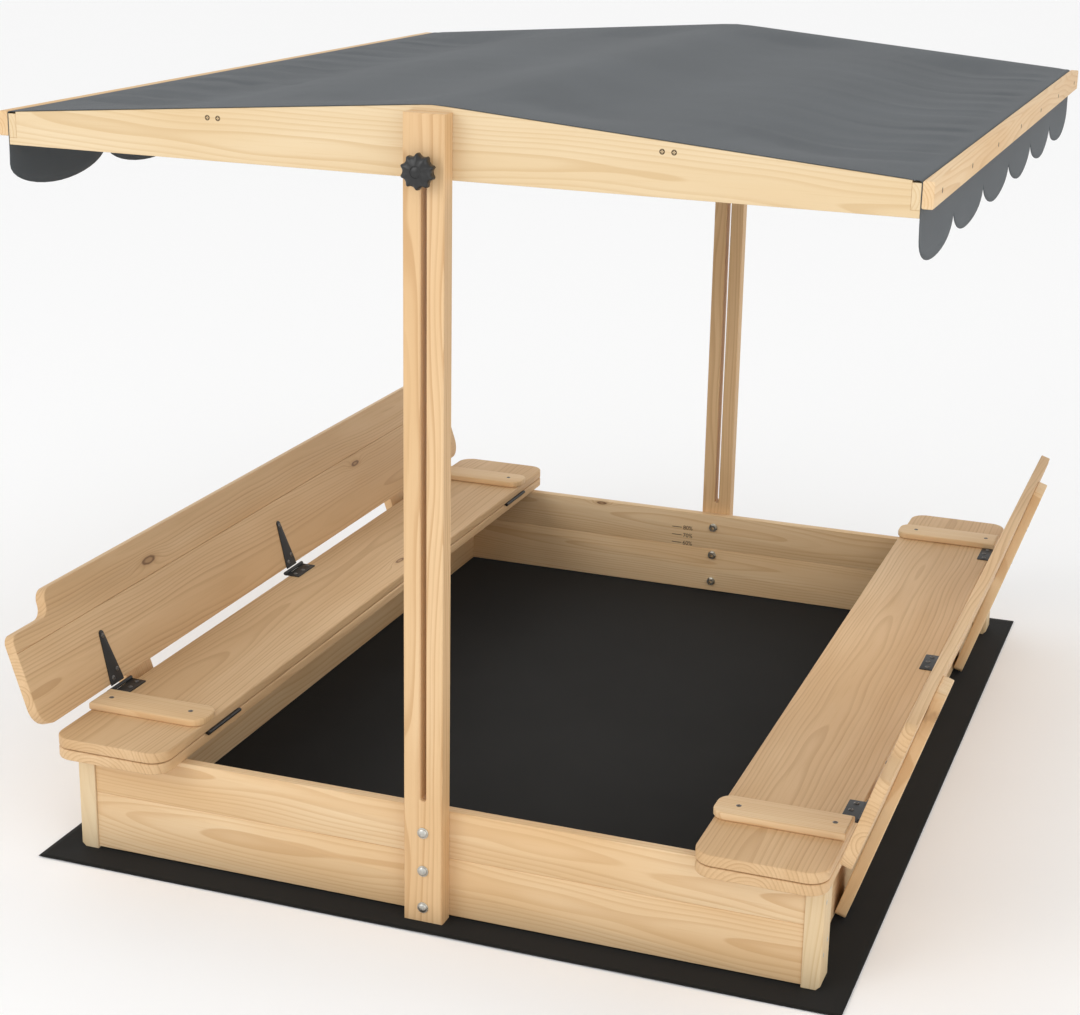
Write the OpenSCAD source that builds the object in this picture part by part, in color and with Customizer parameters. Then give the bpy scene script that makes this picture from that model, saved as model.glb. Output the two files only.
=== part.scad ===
// Sandbox with two folding bench covers and a height-adjustable canopy.
// Frame: origin at the centre of the ground footprint, X across the benches,
// Y along the benches, Z up. Millimetres.

/* [Box] */
// Width of the box over the corner battens
box_w = 1180; // [1100:10:1300]
// Length of the box over the end panels
box_l = 1506; // [1400:2:1600]
// Height of the panel tops above the ground
panel_top = 172; // [160:1:190]
// Thickness of the panel boards
panel_t = 17; // [16:1:20]
// Height of the joint between the lower and upper panel boards
panel_seam = 97; // [90:1:110]
// Clearance under the panel boards
panel_lift = 4; // [3:1:8]
// Width of a corner batten across the box
batten_w = 28; // [24:1:32]
// Depth of a corner batten along the box
batten_d = 45; // [40:1:50]
// How far a corner batten stands proud of the end panel
batten_proud = 3; // [1:1:5]

/* [Ground liner] */
// Width of the liner
liner_w = 1266; // [1200:2:1300]
// Length of the liner
liner_l = 1622; // [1560:2:1660]
// Thickness of the liner
liner_t = 1; // [0.6:0.2:1.6]

/* [Posts] */
// Width of a post
post_w = 60; // [54:1:66]
// Thickness of a post
post_t = 28; // [24:1:32]
// Height of the post tops
post_top = 1180; // [1150:5:1200]
// Width of the clamp slot
slot_w = 8.8; // [8.8:0.2:10]
// Height of the lower end of the slot
slot_low = 199; // [190:1:230]

/* [Canopy] */
// Height of the straight lower edge of the gable boards
gable_low = 1090; // [1060:5:1100]
// Height of a gable board at its ends
gable_end_h = 47; // [44:1:52]
// Height of a gable board at the ridge
gable_mid_h = 98; // [90:1:110]
// Thickness of the gable boards
gable_t = 17; // [15:1:20]
// Half width of the canopy over the eave battens
canopy_half = 669; // [640:1:680]
// Thickness of an eave batten
eave_t = 15.5; // [12:0.5:18]
// Thickness of an end rail
rail_t = 12; // [11:1:16]
// Height of an end rail and of its notch
rail_h = 37; // [32:1:40]
// Distance of the purlins from the ridge
purlin_x = 326; // [300:2:360]
// Number of scallops along each valance
scallops = 6; // [4:1:8]
// Drop of the valance at the points between two scallops
valance_min = 28; // [20:1:60]
// Drop of the valance at the lowest point of a scallop
valance_max = 68; // [66:1:100]
// Height of the clamp bolt above the ground
clamp_z = 1106; // [1102:1:1112]

/* [Benches] */
// Inner edge of the benches, from the centre plane
bench_in = 410; // [405:1:415]
// Outer edge of the benches, from the centre plane
bench_out = 600; // [598:1:602]
// Length of the bench boards
bench_l = 1620; // [1600:2:1640]
// Thickness of the fixed board and of the seat board
seat_t = 17; // [16:0.5:18]
// Thickness of the backrest boards
back_t = 17.5; // [16.5:0.5:18.5]
// Height of the backrest
back_h = 191; // [186:1:194]
// Height of the joint between the backrest boards
back_seam = 123; // [115:1:135]
// Width of a backrest leg
leg_w = 78; // [70:1:84]
// Thickness of a backrest leg
leg_t = 17.5; // [16:0.5:20]
// Distance of the legs from the middle of the bench
leg_y = 515; // [500:1:525]

/* [Hinges] */
// Distance of the outer tee hinges from the middle of the bench
tee_y = 604; // [600:1:604]
// Distance of the butt hinges from the middle of the bench
butt_y = 627; // [610:1:640]

/* [Hidden] */
$fn = 48;
eps = 0.02;
side_face = box_w / 2 - batten_w;
end_face = box_l / 2;
end_inner = end_face - panel_t;
// Bench stack: fixed board, hinge line, seat board
fixed_top = panel_top + seat_t;
butt_z = fixed_top + 0.9;
butt_x = bench_in - 3.5;
seat_low = butt_z + 0.5;
seat_top = seat_low + seat_t;
// Tee hinge axis, and the gap from it to both board edges
knuckle_r = 3.2;
edge_gap = 7;
tee_x = bench_out + edge_gap;
tee_z = seat_top + knuckle_r;
back_in = knuckle_r;
back_out = back_in + back_t;
leg_low = -205;
leg_top = edge_gap + back_h - 5;
// Outward lean of the backrest when the feet of its legs rest on the side panel
back_lean = asin((tee_x - side_face - 0.4) / norm([back_out, leg_low]))
    + atan(back_out / -leg_low);
notch_h = 40;
notch_y = 709;
// Cleats across the seat
cleat_y = 671;
cleat_w = 62;
cleat_t = 12;
cleat_screw_x = [440, 580];
// Canopy faces
gable_out = end_face - 0.5;
gable_in = gable_out - gable_t;
rail_out = canopy_half - eave_t - 1;
rail_in = rail_out - rail_t;
eave_z = gable_low + gable_end_h;
ridge_z = gable_low + gable_mid_h;
slope = (gable_mid_h - gable_end_h) / rail_in;
roof_t = 1.5;
ridge_w = 20;
ridge_h = 44;
purlin_w = 42;
purlin_t = 17;
purlin_screw = 8;
rail_low = eave_z - rail_h;
rail_top = eave_z - 3;
// Clamp fasteners
bolt_r = 4;
bore_r = 4.05;
washer_t = 2;
gap = 0.4;
knob_r = 25;
knob_h = 16;
hub_r = 12;
hub_h = 8;
lobes = 10;
washer_y = end_face + post_t + gap;
hub_y = washer_y + washer_t + gap;
post_bolt_z = [25, 84, 145];
// Wood screws
screw_r = 2;
head_r = 4;
head_h = 3;
wood = "burlywood";
steel = "silver";
black = "dimgray";

// ---------- shared shapes ----------

// A box from its low corner to its high corner
module block(low, high) {
    translate(low) cube(high - low);
}

// The children and their mirror image at the other end of the box
module both_ends() {
    children();
    mirror([0, 1, 0]) children();
}

module both_sides() {
    children();
    mirror([1, 0, 0]) children();
}

// A rectangle centred on the origin with its four corners rounded
module round_rect(w, l, r) {
    square([w - 2 * r, l], center = true);
    square([w, l - 2 * r], center = true);
    for (sx = [-1, 1], sy = [-1, 1])
        translate([sx * (w / 2 - r), sy * (l / 2 - r)]) circle(r);
}

// Lays the local Z axis along +X or along -Y
module along_x() { rotate([0, 90, 0]) children(); }
module along_front() { rotate([90, 0, 0]) children(); }

// Countersunk wood screw: head flush with z = 0, shank downwards
module screw(len) {
    translate([0, 0, -len]) cylinder(r = screw_r, h = len - head_h + eps);
    translate([0, 0, -head_h]) cylinder(r = head_r, h = head_h);
}

// Round-headed screw standing on z = 0, shank downwards
module dome_screw(len) {
    translate([0, 0, -len]) cylinder(r = screw_r, h = len + eps);
    cylinder(r1 = head_r, r2 = 2.6, h = 1.8);
}

// ---------- box ----------

module end_board(low, high) {
    color(wood) difference() {
        block([-side_face, -end_face, low], [side_face, -end_inner, high]);
        post_bolt_places(1) cylinder(r = bolt_r + 0.15, h = 200, center = true);
        corner_screws();
    }
}

module side_board(low, high) {
    color(wood) difference() {
        block([side_face - panel_t, -end_inner, low], [side_face, end_inner, high]);
        both_ends() corner_screws();
        bench_screws();
    }
}

// Tongue along the top of a lower board
module tongue(len) {
    translate([-len / 2, -3, panel_seam]) cube([len, 6, 5]);
}

module end_tongue() {
    translate([0, -end_face + panel_t / 2, 0]) tongue(2 * side_face);
}

module side_tongue() {
    translate([side_face - panel_t / 2, 0, 0]) rotate([0, 0, 90]) tongue(2 * end_inner);
}

module lower_end() {
    end_board(panel_lift, panel_seam);
    color(wood) end_tongue();
}

module upper_end() {
    color(wood) difference() {
        end_board(panel_seam, panel_top);
        end_tongue();
    }
}

module lower_side() {
    side_board(panel_lift, panel_seam);
    color(wood) side_tongue();
}

module upper_side() {
    color(wood) difference() {
        side_board(panel_seam, panel_top);
        side_tongue();
    }
}

// Screws of the two front corners: two into the end panel, two into the side panel
module corner_screws() {
    both_sides() for (z = [52, 134], k = [0, 1])
        translate([box_w / 2, -end_face + panel_t / 2 + k * 21, z + k * 14])
            along_x() screw(k == 0 ? 55 : 36);
}

// Screws down through a fixed bench board into the side panel
module bench_screws() {
    for (y = [-500, -250, 0, 250, 500])
        translate([side_face - panel_t / 2, y, fixed_top - 0.3]) screw(42);
}

module corner_battens() {
    color(wood) both_ends() both_sides() difference() {
        translate([box_w / 2 - batten_w / 2, -end_face - batten_proud + batten_d / 2, liner_t])
            linear_extrude(panel_top - liner_t) round_rect(batten_w, batten_d, 2);
        corner_screws();
        along_front() corner_chamfer();
    }
}

// Takes the outer lower corner off a batten
module corner_chamfer() {
    translate([box_w / 2, liner_t, 0]) rotate(45)
        cube([9, 9, 4 * box_l], center = true);
}

module box_screws() {
    color(steel) {
        both_ends() corner_screws();
        both_sides() bench_screws();
    }
}

module ground_liner() {
    color("black") translate([0, 0, liner_t / 2])
        cube([liner_w, liner_l, liner_t], center = true);
}

// ---------- posts ----------

// Axes of the post bolts, local Z pointing out of the front (end = 1) face
module post_bolt_places(end) {
    for (z = post_bolt_z)
        translate([0, -end * end_face, z]) rotate([end * 90, 0, 0]) children();
}

module post() {
    color(wood) difference() {
        block([-post_w / 2, -end_face - post_t, liner_t], [post_w / 2, -end_face, post_top]);
        post_bolt_places(1) cylinder(r = bolt_r + 0.15, h = 200, center = true);
        clamp_slot();
    }
}

// The clamp slot, with round ends
module clamp_slot() {
    top = clamp_z + 1;
    block([-slot_w / 2, -end_face - post_t - 1, slot_low], [slot_w / 2, -end_face + 1, top]);
    for (z = [slot_low, top])
        translate([0, -end_face + 1, z]) along_front() cylinder(d = slot_w, h = post_t + 2);
}

module post_bolts() {
    color(steel) both_ends() post_bolt_places(1) {
        translate([0, 0, -panel_t - 12]) cylinder(r = bolt_r, h = post_t + panel_t + 12);
        translate([0, 0, post_t]) cylinder(r = 8.5, h = 1.6);
        translate([0, 0, post_t + 1.6 - eps]) cylinder(r1 = 7, r2 = 4.5, h = 2.6);
    }
}

// Washer and hexagon nut on the inner face of the end panel
module post_nuts() {
    color(steel) both_ends() post_bolt_places(1) difference() {
        union() {
            translate([0, 0, -panel_t - 1.6]) cylinder(r = 8.5, h = 1.6);
            translate([0, 0, -panel_t - 8]) cylinder(r = 7.4, h = 6.4 + eps, $fn = 6);
        }
        cylinder(r = bolt_r, h = 100, center = true);
    }
}

// ---------- canopy clamp ----------

// The bolt turns in the gable board and slides in the slot of the post
module clamp_bolt() {
    len = hub_y + hub_h + 7 - gable_in;
    color(steel) translate([0, -gable_in, clamp_z]) along_front() {
        cylinder(r = bolt_r, h = len);
        translate([0, 0, -4 - gap]) cylinder(r1 = 6, r2 = 9, h = 4);
        translate([0, 0, -gap - eps]) cylinder(r = bolt_r, h = gap + 2 * eps);
    }
}

module clamp_washers() {
    color(steel) both_ends() translate([0, -washer_y, clamp_z]) along_front() difference() {
        cylinder(r = 12, h = washer_t);
        cylinder(r = bolt_r, h = 10, center = true);
    }
}

// Star knob: a disc with scallops taken out of its rim, on a round hub
module knob() {
    color("black") translate([0, -hub_y, clamp_z]) along_front() difference() {
        union() {
            cylinder(r = hub_r, h = hub_h + eps);
            translate([0, 0, hub_h]) cylinder(r1 = knob_r - 1, r2 = knob_r, h = knob_h - 5);
            translate([0, 0, hub_h + knob_h - 5 - eps])
                cylinder(r1 = knob_r, r2 = knob_r - 7, h = 5);
        }
        for (k = [0 : lobes - 1]) rotate(k * 360 / lobes)
            translate([knob_r + 3.4, 0, hub_h - 1]) cylinder(r = 7.6, h = knob_h + 2);
        translate([0, 0, -1]) cylinder(r = bore_r, h = hub_h + 9);
    }
}

// ---------- canopy ----------

// Outline of a gable board: straight below, peaked above, notched for the rails
module gable_outline() {
    polygon([[-rail_out, gable_low], [rail_out, gable_low], [rail_out, rail_low],
        [rail_in, rail_low], [rail_in, eave_z], [0, ridge_z], [-rail_in, eave_z],
        [-rail_in, rail_low], [-rail_out, rail_low]]);
}

module gable_board() {
    color(wood) difference() {
        translate([0, -gable_in, 0]) along_front() linear_extrude(gable_t) gable_outline();
        translate([0, -end_face, clamp_z]) along_front()
            cylinder(r = bore_r, h = 80, center = true);
        gable_screws();
    }
}

// Height of the underside of the roof fabric at a distance from the ridge
function roof_z(x) = ridge_z - 3 - slope * x;
function purlin_top() = roof_z(purlin_x + purlin_w / 2);

// Two screws into each purlin end and two into each end of the ridge bar
module gable_screws() {
    translate([0, -gable_out + 0.1, 0]) {
        both_sides() for (s = [-1, 1])
            translate([purlin_x + s * purlin_screw, 0, purlin_top() - purlin_t / 2])
                along_front() screw(45);
        for (z = [14, 32])
            translate([0, 0, ridge_z - 4 - z]) along_front() screw(45);
    }
}

module ridge_bar() {
    color(wood) difference() {
        block([-ridge_w / 2, -gable_in, ridge_z - 4 - ridge_h],
            [ridge_w / 2, gable_in, ridge_z - 4]);
        both_ends() gable_screws();
    }
}

module purlin() {
    color(wood) difference() {
        block([purlin_x - purlin_w / 2, -gable_in, purlin_top() - purlin_t],
            [purlin_x + purlin_w / 2, gable_in, purlin_top()]);
        both_ends() gable_screws();
    }
}

// Screws through an eave batten and the fabric into the end rail
module eave_screws() {
    for (k = [-3 : 3])
        translate([canopy_half - 0.1, k * 232, eave_z - rail_h / 2]) along_x() screw(26);
}

module end_rail() {
    color(wood) difference() {
        block([rail_in, -gable_out, rail_low], [rail_out, gable_out, rail_top]);
        eave_screws();
    }
}

module eave_batten() {
    color(wood) difference() {
        block([canopy_half - eave_t, -gable_out, rail_low + 2],
            [canopy_half, gable_out, eave_z]);
        eave_screws();
    }
}

// The fabric over the purlins and the end rails, as one thin ridge-shaped sheet
module roof_fabric() {
    edge = rail_out + 1;
    color("slategray") translate([0, gable_in - 0.5, 0]) along_front()
        linear_extrude(2 * gable_in - 1) polygon([
            [-edge, rail_top], [-rail_in, rail_top], [0, roof_z(0)],
            [rail_in, rail_top], [edge, rail_top], [edge, rail_top + roof_t],
            [rail_in, rail_top + roof_t], [0, roof_z(0) + roof_t],
            [-rail_in, rail_top + roof_t], [-edge, rail_top + roof_t]]);
}

// Hanging edge of the fabric, clamped between rail and batten, with a scalloped hem
module valance() {
    pitch = 2 * gable_out / scallops;
    deep = valance_max - valance_min;
    r = (pitch * pitch / 4 + deep * deep) / (2 * deep);
    color("slategray") difference() {
        translate([rail_out, 0, 0]) rotate([90, 0, 90]) linear_extrude(1) {
            translate([-gable_out, gable_low - valance_min])
                square([2 * gable_out, rail_top - gable_low + valance_min]);
            intersection() {
                for (k = [0 : scallops - 1])
                    translate([-gable_out + (k + 0.5) * pitch, gable_low - valance_max + r])
                        circle(r, $fn = 180);
                translate([-gable_out, gable_low - valance_max])
                    square([2 * gable_out, deep + 1]);
            }
        }
        eave_screws();
    }
}

module canopy_screws() {
    color(steel) {
        both_ends() gable_screws();
        both_sides() eave_screws();
    }
}

// ---------- benches (right side; the left side is its mirror image) ----------

// A bench board with rounded corners, standing on the height z
module bench_board(z) {
    translate([(bench_in + bench_out) / 2, 0, z])
        linear_extrude(seat_t) round_rect(bench_out - bench_in, bench_l, 30);
}

// Openings in the outer edge of the fixed board that the legs swing through
module leg_openings() {
    for (s = [-1, 1])
        block([side_face + 4.5, s * leg_y - leg_w / 2 - 3, panel_top - 1],
            [bench_out + 1, s * leg_y + leg_w / 2 + 3, fixed_top + 1]);
}

module fixed_bench_board() {
    color(wood) difference() {
        bench_board(panel_top);
        leg_openings();
        bench_screws();
        butt_places() leaf_pocket(-1);
    }
}

// Butt hinges lie closed between the fixed board and the seat board
module butt_places() {
    for (y = [-butt_y, butt_y])
        translate([butt_x, y, butt_z]) children();
}

butt_l = 100;
leaf_t = 1.5;
butt_leaf_w = 24;
barrel_r = 3;
pin_r = 1.5;
pin_bore = 1.55;

// Room for a hinge leaf in the face of a board, below or above the hinge line
module leaf_pocket(side) {
    low = side < 0 ? -0.25 - leaf_t : 0.25;
    high = side < 0 ? 1 : 0.25 + leaf_t;
    base = side < 0 ? low : -1;
    block([3.4, -butt_l / 2 - 0.2, base], [butt_leaf_w + 0.2, butt_l / 2 + 0.2, high]);
}

// A barrel section of a hinge around the local Y axis, from y0 to y1
module barrel(y0, y1, r, bore) {
    translate([0, y1, 0]) rotate([90, 0, 0]) difference() {
        cylinder(r = r, h = y1 - y0);
        translate([0, 0, -1]) cylinder(r = bore, h = y1 - y0 + 2);
    }
}

// One leaf with its knuckles; side is -1 for the lower leaf and 1 for the upper one
module butt_leaf(side, knuckles) {
    z0 = side < 0 ? -0.25 - leaf_t : 0.25;
    difference() {
        block([0, -butt_l / 2, z0], [butt_leaf_w, butt_l / 2, z0 + leaf_t]);
        translate([0, butt_l, 0]) rotate([90, 0, 0])
            cylinder(r = barrel_r + gap, h = 2 * butt_l);
    }
    for (k = knuckles) {
        barrel(k[0], k[1], barrel_r, pin_bore);
        difference() {
            block([0, k[0], z0], [barrel_r + 1, k[1], z0 + leaf_t]);
            translate([0, butt_l, 0]) rotate([90, 0, 0])
                cylinder(r = barrel_r - 0.5, h = 2 * butt_l);
        }
    }
}

third = butt_l / 3;
outer_knuckles = [[-butt_l / 2, -third / 2 - gap / 2], [third / 2 + gap / 2, butt_l / 2]];
inner_knuckle = [[-third / 2 + gap / 2, third / 2 - gap / 2]];

module butt_hinge_fixed_leaves() {
    color(black) both_sides() butt_places() butt_leaf(-1, outer_knuckles);
}

module butt_hinge_pins() {
    color(black) both_sides() butt_places()
        translate([0, butt_l / 2 + 1, 0]) rotate([90, 0, 0]) {
            cylinder(r = pin_r, h = butt_l + 2);
            cylinder(r = 2.4, h = 1);
            translate([0, 0, butt_l + 1]) cylinder(r = 2.4, h = 1);
        }
}

module butt_hinge_leaves() {
    color(black) butt_places() butt_leaf(1, inner_knuckle);
}

module seat_board() {
    color(wood) difference() {
        bench_board(seat_low);
        butt_places() leaf_pocket(1);
        seat_screws_all();
    }
}

module cleat_screws() {
    for (x = cleat_screw_x, s = [-1, 1])
        translate([x, s * cleat_y, seat_top + cleat_t]) dome_screw(24);
}

// Cleat with a rounded inner end
module seat_cleats() {
    x0 = bench_in - 4;
    x1 = bench_out + 2;
    color(wood) difference() {
        for (s = [-1, 1]) translate([0, s * cleat_y, seat_top]) linear_extrude(cleat_t) {
            translate([x0 + 22, -cleat_w / 2]) square([x1 - x0 - 22, cleat_w]);
            translate([x0, -cleat_w / 2 + 22]) square([30, cleat_w - 44]);
            for (c = [-1, 1]) translate([x0 + 22, c * (cleat_w / 2 - 22)]) circle(22);
        }
        cleat_screws();
    }
}

// ---------- tee hinges ----------

tee_l = 68;
tee_leaf_w = 24;
tee_t = 2;
strap_w = 36;
strap_l = 94;
tee_pin_r = 1.6;
tee_bore = 1.65;
tee_knuckle = 30;

// Tee hinge axes in the world frame
module tee_places() {
    for (y = [-tee_y, 0, tee_y]) translate([tee_x, y, tee_z]) children();
}

tee_leaf_screws = [[-tee_leaf_w / 2 - 4, -24], [-tee_leaf_w / 2 - 7, 0], [-tee_leaf_w / 2 - 4, 24]];

module tee_leaf_screw_set() {
    tee_places() for (p = tee_leaf_screws)
        translate([p[0], p[1], -knuckle_r + tee_t]) dome_screw(14);
}

module seat_screws_all() {
    cleat_screws();
    tee_leaf_screw_set();
}

// Leaf on the seat with the two outer knuckles
module tee_hinge_butts() {
    color(black) difference() {
        tee_places() {
            difference() {
                block([-tee_leaf_w - 4, -tee_l / 2, -knuckle_r],
                    [0, tee_l / 2, -knuckle_r + tee_t]);
                translate([0, tee_l, 0]) rotate([90, 0, 0])
                    cylinder(r = knuckle_r + gap, h = 2 * tee_l);
            }
            for (s = [0, 1]) mirror([0, s, 0]) {
                barrel(tee_knuckle / 2 + gap, tee_l / 2, knuckle_r, tee_bore);
                difference() {
                    block([-4, tee_knuckle / 2 + gap, -knuckle_r],
                        [0, tee_l / 2, -knuckle_r + tee_t]);
                    translate([0, tee_l, 0]) rotate([90, 0, 0])
                        cylinder(r = tee_pin_r + 0.6, h = 2 * tee_l);
                }
            }
        }
        tee_leaf_screw_set();
    }
}

module tee_hinge_pins() {
    color(black) tee_places() translate([0, tee_l / 2 + 1, 0]) rotate([90, 0, 0]) {
        cylinder(r = tee_pin_r, h = tee_l + 2);
        cylinder(r = 2.6, h = 1);
        translate([0, 0, tee_l + 1]) cylinder(r = 2.6, h = 1);
    }
}

module seat_screws() {
    color(steel) seat_screws_all();
}

// ---------- backrest: local X out of the board, local Z up along it ----------

module lean() {
    translate([tee_x, 0, tee_z]) rotate([0, back_lean, 0]) children();
}

// Lays a (Y, height) outline on the inner face and gives it the board thickness
module on_face(x, t) {
    translate([x, 0, 0]) rotate([90, 0, 90]) linear_extrude(t) children();
}

back_len = bench_l;
back_low = edge_gap;
back_top = edge_gap + back_h;
ledge = back_top - notch_h;
seam = edge_gap + back_seam;
s_r = notch_h / 2;

module back_lower_outline() {
    half = back_len / 2;
    r = 34;
    difference() {
        translate([-half, back_low]) square([2 * half, back_seam]);
        for (s = [-1, 1]) translate([s * (half - r), back_low + r]) difference() {
            translate([s > 0 ? 0 : -r - 1, -r - 1]) square(r + 1);
            circle(r);
        }
    }
}

// Full length up to the ledge, then an S-shaped step up to the top edge
module back_upper_outline() {
    half = back_len / 2;
    r = 14;
    difference() {
        translate([-half, seam]) square([2 * half, ledge - seam]);
        for (s = [-1, 1]) translate([s * (half - r), ledge - r]) difference() {
            translate([s > 0 ? 0 : -r - 1, 0]) square(r + 1);
            circle(r);
        }
    }
    difference() {
        translate([-notch_y - s_r, ledge - eps]) square([2 * (notch_y + s_r), notch_h + eps]);
        for (s = [-1, 1]) {
            translate([s * (notch_y + s_r), ledge + s_r]) circle(s_r);
            translate([s > 0 ? notch_y : -notch_y - s_r - 1, ledge + s_r])
                square([s_r + 1, s_r + 1]);
            translate([s * (notch_y - s_r), ledge + s_r]) difference() {
                translate([s > 0 ? 0 : -s_r - 1, 0]) square(s_r + 1);
                circle(s_r);
            }
        }
    }
}

module back_lower_board() {
    color(wood) difference() {
        lean() on_face(back_in, back_t) difference() {
            back_lower_outline();
            translate([0, seam]) square([2 * back_len, 0.3], center = true);
        }
        back_screws_all();
    }
}

module back_upper_board() {
    color(wood) difference() {
        lean() on_face(back_in, back_t) back_upper_outline();
        back_screws_all();
    }
}

// Legs on the outer face, from the top edge down to just above the ground
module back_legs() {
    color(wood) difference() {
        lean() for (s = [-1, 1]) on_face(back_out, leg_t)
            translate([s * leg_y, (leg_low + leg_top) / 2]) difference() {
                round_rect(leg_w, leg_top - leg_low, 12);
            }
        back_screws_all();
    }
}

leg_screws = [[-16, 26], [16, 26], [-16, 108], [16, 108], [0, 160]];
strap_screws = [[0, 85], [8, 25], [-8, 15]];

// Screws through the legs into the backrest boards, and through the straps
module back_screws_all() {
    lean() {
        for (s = [-1, 1], p = leg_screws)
            translate([back_out + leg_t, s * leg_y + p[0], p[1]]) along_x() screw(33);
        for (y = [-tee_y, 0, tee_y], p = strap_screws)
            translate([back_in - tee_t, y + p[0], p[1]]) rotate([0, -90, 0]) dome_screw(12);
    }
}

module back_screws() {
    color(steel) back_screws_all();
}

// Tapered strap with a round tip and the middle knuckle
module tee_hinge_straps() {
    color(black) difference() {
        lean() for (y = [-tee_y, 0, tee_y]) translate([0, y, 0]) {
            barrel(-tee_knuckle / 2, tee_knuckle / 2, knuckle_r, tee_bore);
            difference() {
                union() {
                    on_face(back_in - tee_t, tee_t) {
                        polygon([[-strap_w / 2, 6], [strap_w / 2, 6],
                            [6, strap_l - 6], [-6, strap_l - 6]]);
                        translate([0, strap_l - 6]) circle(6);
                    }
                    block([back_in - tee_t, -tee_knuckle / 2, 0],
                        [back_in, tee_knuckle / 2, 6.2]);
                }
                translate([0, tee_l, 0]) rotate([90, 0, 0])
                    cylinder(r = tee_pin_r + 0.6, h = 2 * tee_l);
            }
        }
        back_screws_all();
    }
}

// ---------- the nodes ----------

module rear() { mirror([0, 1, 0]) children(); }
module left() { mirror([1, 0, 0]) children(); }

ground_liner();
lower_end();  // front_lower_board
upper_end();  // front_upper_board
rear() lower_end();  // rear_lower_board
rear() upper_end();  // rear_upper_board
left() lower_side();  // left_lower_board
left() upper_side();  // left_upper_board
lower_side();  // right_lower_board
upper_side();  // right_upper_board
corner_battens();
box_screws();
post();  // front_post
rear() post();  // rear_post
post_bolts();
post_nuts();
left() fixed_bench_board();  // left_fixed_bench_board
fixed_bench_board();  // right_fixed_bench_board
butt_hinge_fixed_leaves();
butt_hinge_pins();
clamp_bolt();  // front_clamp_bolt
rear() clamp_bolt();  // rear_clamp_bolt
clamp_washers();
knob();  // front_knob
rear() knob();  // rear_knob
gable_board();  // front_gable_board
rear() gable_board();  // rear_gable_board
ridge_bar();
left() purlin();  // left_purlin
purlin();  // right_purlin
left() end_rail();  // left_end_rail
end_rail();  // right_end_rail
left() eave_batten();  // left_eave_batten
eave_batten();  // right_eave_batten
roof_fabric();
left() valance();  // left_valance
valance();  // right_valance
canopy_screws();
left() seat_board();  // left_seat_board
left() seat_cleats();  // left_seat_cleats
left() seat_screws();  // left_seat_screws
left() butt_hinge_leaves();  // left_butt_hinge_leaves
left() tee_hinge_butts();  // left_tee_hinge_butts
left() tee_hinge_pins();  // left_tee_hinge_pins
seat_board();  // right_seat_board
seat_cleats();  // right_seat_cleats
seat_screws();  // right_seat_screws
butt_hinge_leaves();  // right_butt_hinge_leaves
tee_hinge_butts();  // right_tee_hinge_butts
tee_hinge_pins();  // right_tee_hinge_pins
left() back_lower_board();  // left_back_lower_board
left() back_upper_board();  // left_back_upper_board
left() back_legs();  // left_back_legs
left() tee_hinge_straps();  // left_tee_hinge_straps
left() back_screws();  // left_back_screws
back_lower_board();  // right_back_lower_board
back_upper_board();  // right_back_upper_board
back_legs();  // right_back_legs
tee_hinge_straps();  // right_tee_hinge_straps
back_screws();  // right_back_screws
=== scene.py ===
"""Sandbox with two folding bench covers and a cloth canopy, dressed over its frame.

Lengths are in metres. X runs across the benches, Y along them, Z up, and the
origin is on the ground under the middle of the box.
"""

import logging
import math
from dataclasses import dataclass, field
from enum import Enum
from typing import Sequence

import bpy
import numpy as np
from mathutils import Matrix, Vector

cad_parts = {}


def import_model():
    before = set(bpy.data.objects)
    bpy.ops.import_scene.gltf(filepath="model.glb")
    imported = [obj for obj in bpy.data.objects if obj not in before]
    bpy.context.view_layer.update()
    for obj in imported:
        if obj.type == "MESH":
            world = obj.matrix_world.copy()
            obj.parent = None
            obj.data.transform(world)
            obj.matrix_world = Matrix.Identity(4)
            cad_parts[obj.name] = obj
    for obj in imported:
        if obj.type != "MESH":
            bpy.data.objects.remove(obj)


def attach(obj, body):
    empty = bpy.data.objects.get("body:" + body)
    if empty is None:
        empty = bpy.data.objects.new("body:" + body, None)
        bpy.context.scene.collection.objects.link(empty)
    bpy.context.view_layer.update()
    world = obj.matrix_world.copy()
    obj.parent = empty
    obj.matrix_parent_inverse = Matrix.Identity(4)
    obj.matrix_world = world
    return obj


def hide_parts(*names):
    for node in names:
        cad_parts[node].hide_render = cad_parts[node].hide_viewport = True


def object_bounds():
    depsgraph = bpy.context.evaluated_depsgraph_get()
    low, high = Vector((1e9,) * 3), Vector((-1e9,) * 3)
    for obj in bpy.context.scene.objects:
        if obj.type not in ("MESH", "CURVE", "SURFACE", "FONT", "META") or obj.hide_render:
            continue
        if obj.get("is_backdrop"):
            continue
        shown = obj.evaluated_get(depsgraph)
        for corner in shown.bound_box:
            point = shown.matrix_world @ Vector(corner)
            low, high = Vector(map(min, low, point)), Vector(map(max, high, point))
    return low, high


LOG = logging.getLogger("sandbox")
Colour = tuple[float, float, float]
Shape = tuple[np.ndarray, list[list[int]]]


# ---------------------------------------------------------------- surfaces


def put_mesh(name: str, points: np.ndarray, faces: Sequence[Sequence[int]]) -> bpy.types.Object:
    """Make a mesh object at the origin from points and faces.

    Args:
        name: name of the piece.
        points: array of shape (n, 3).
        faces: index lists, counter-clockwise seen from outside.

    Returns:
        The linked object.
    """
    mesh = bpy.data.meshes.new(name)
    mesh.from_pydata(points.tolist(), [], [list(map(int, f)) for f in faces])
    mesh.validate()
    mesh.update()
    piece = bpy.data.objects.new(name, mesh)
    bpy.context.scene.collection.objects.link(piece)
    return piece


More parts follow.
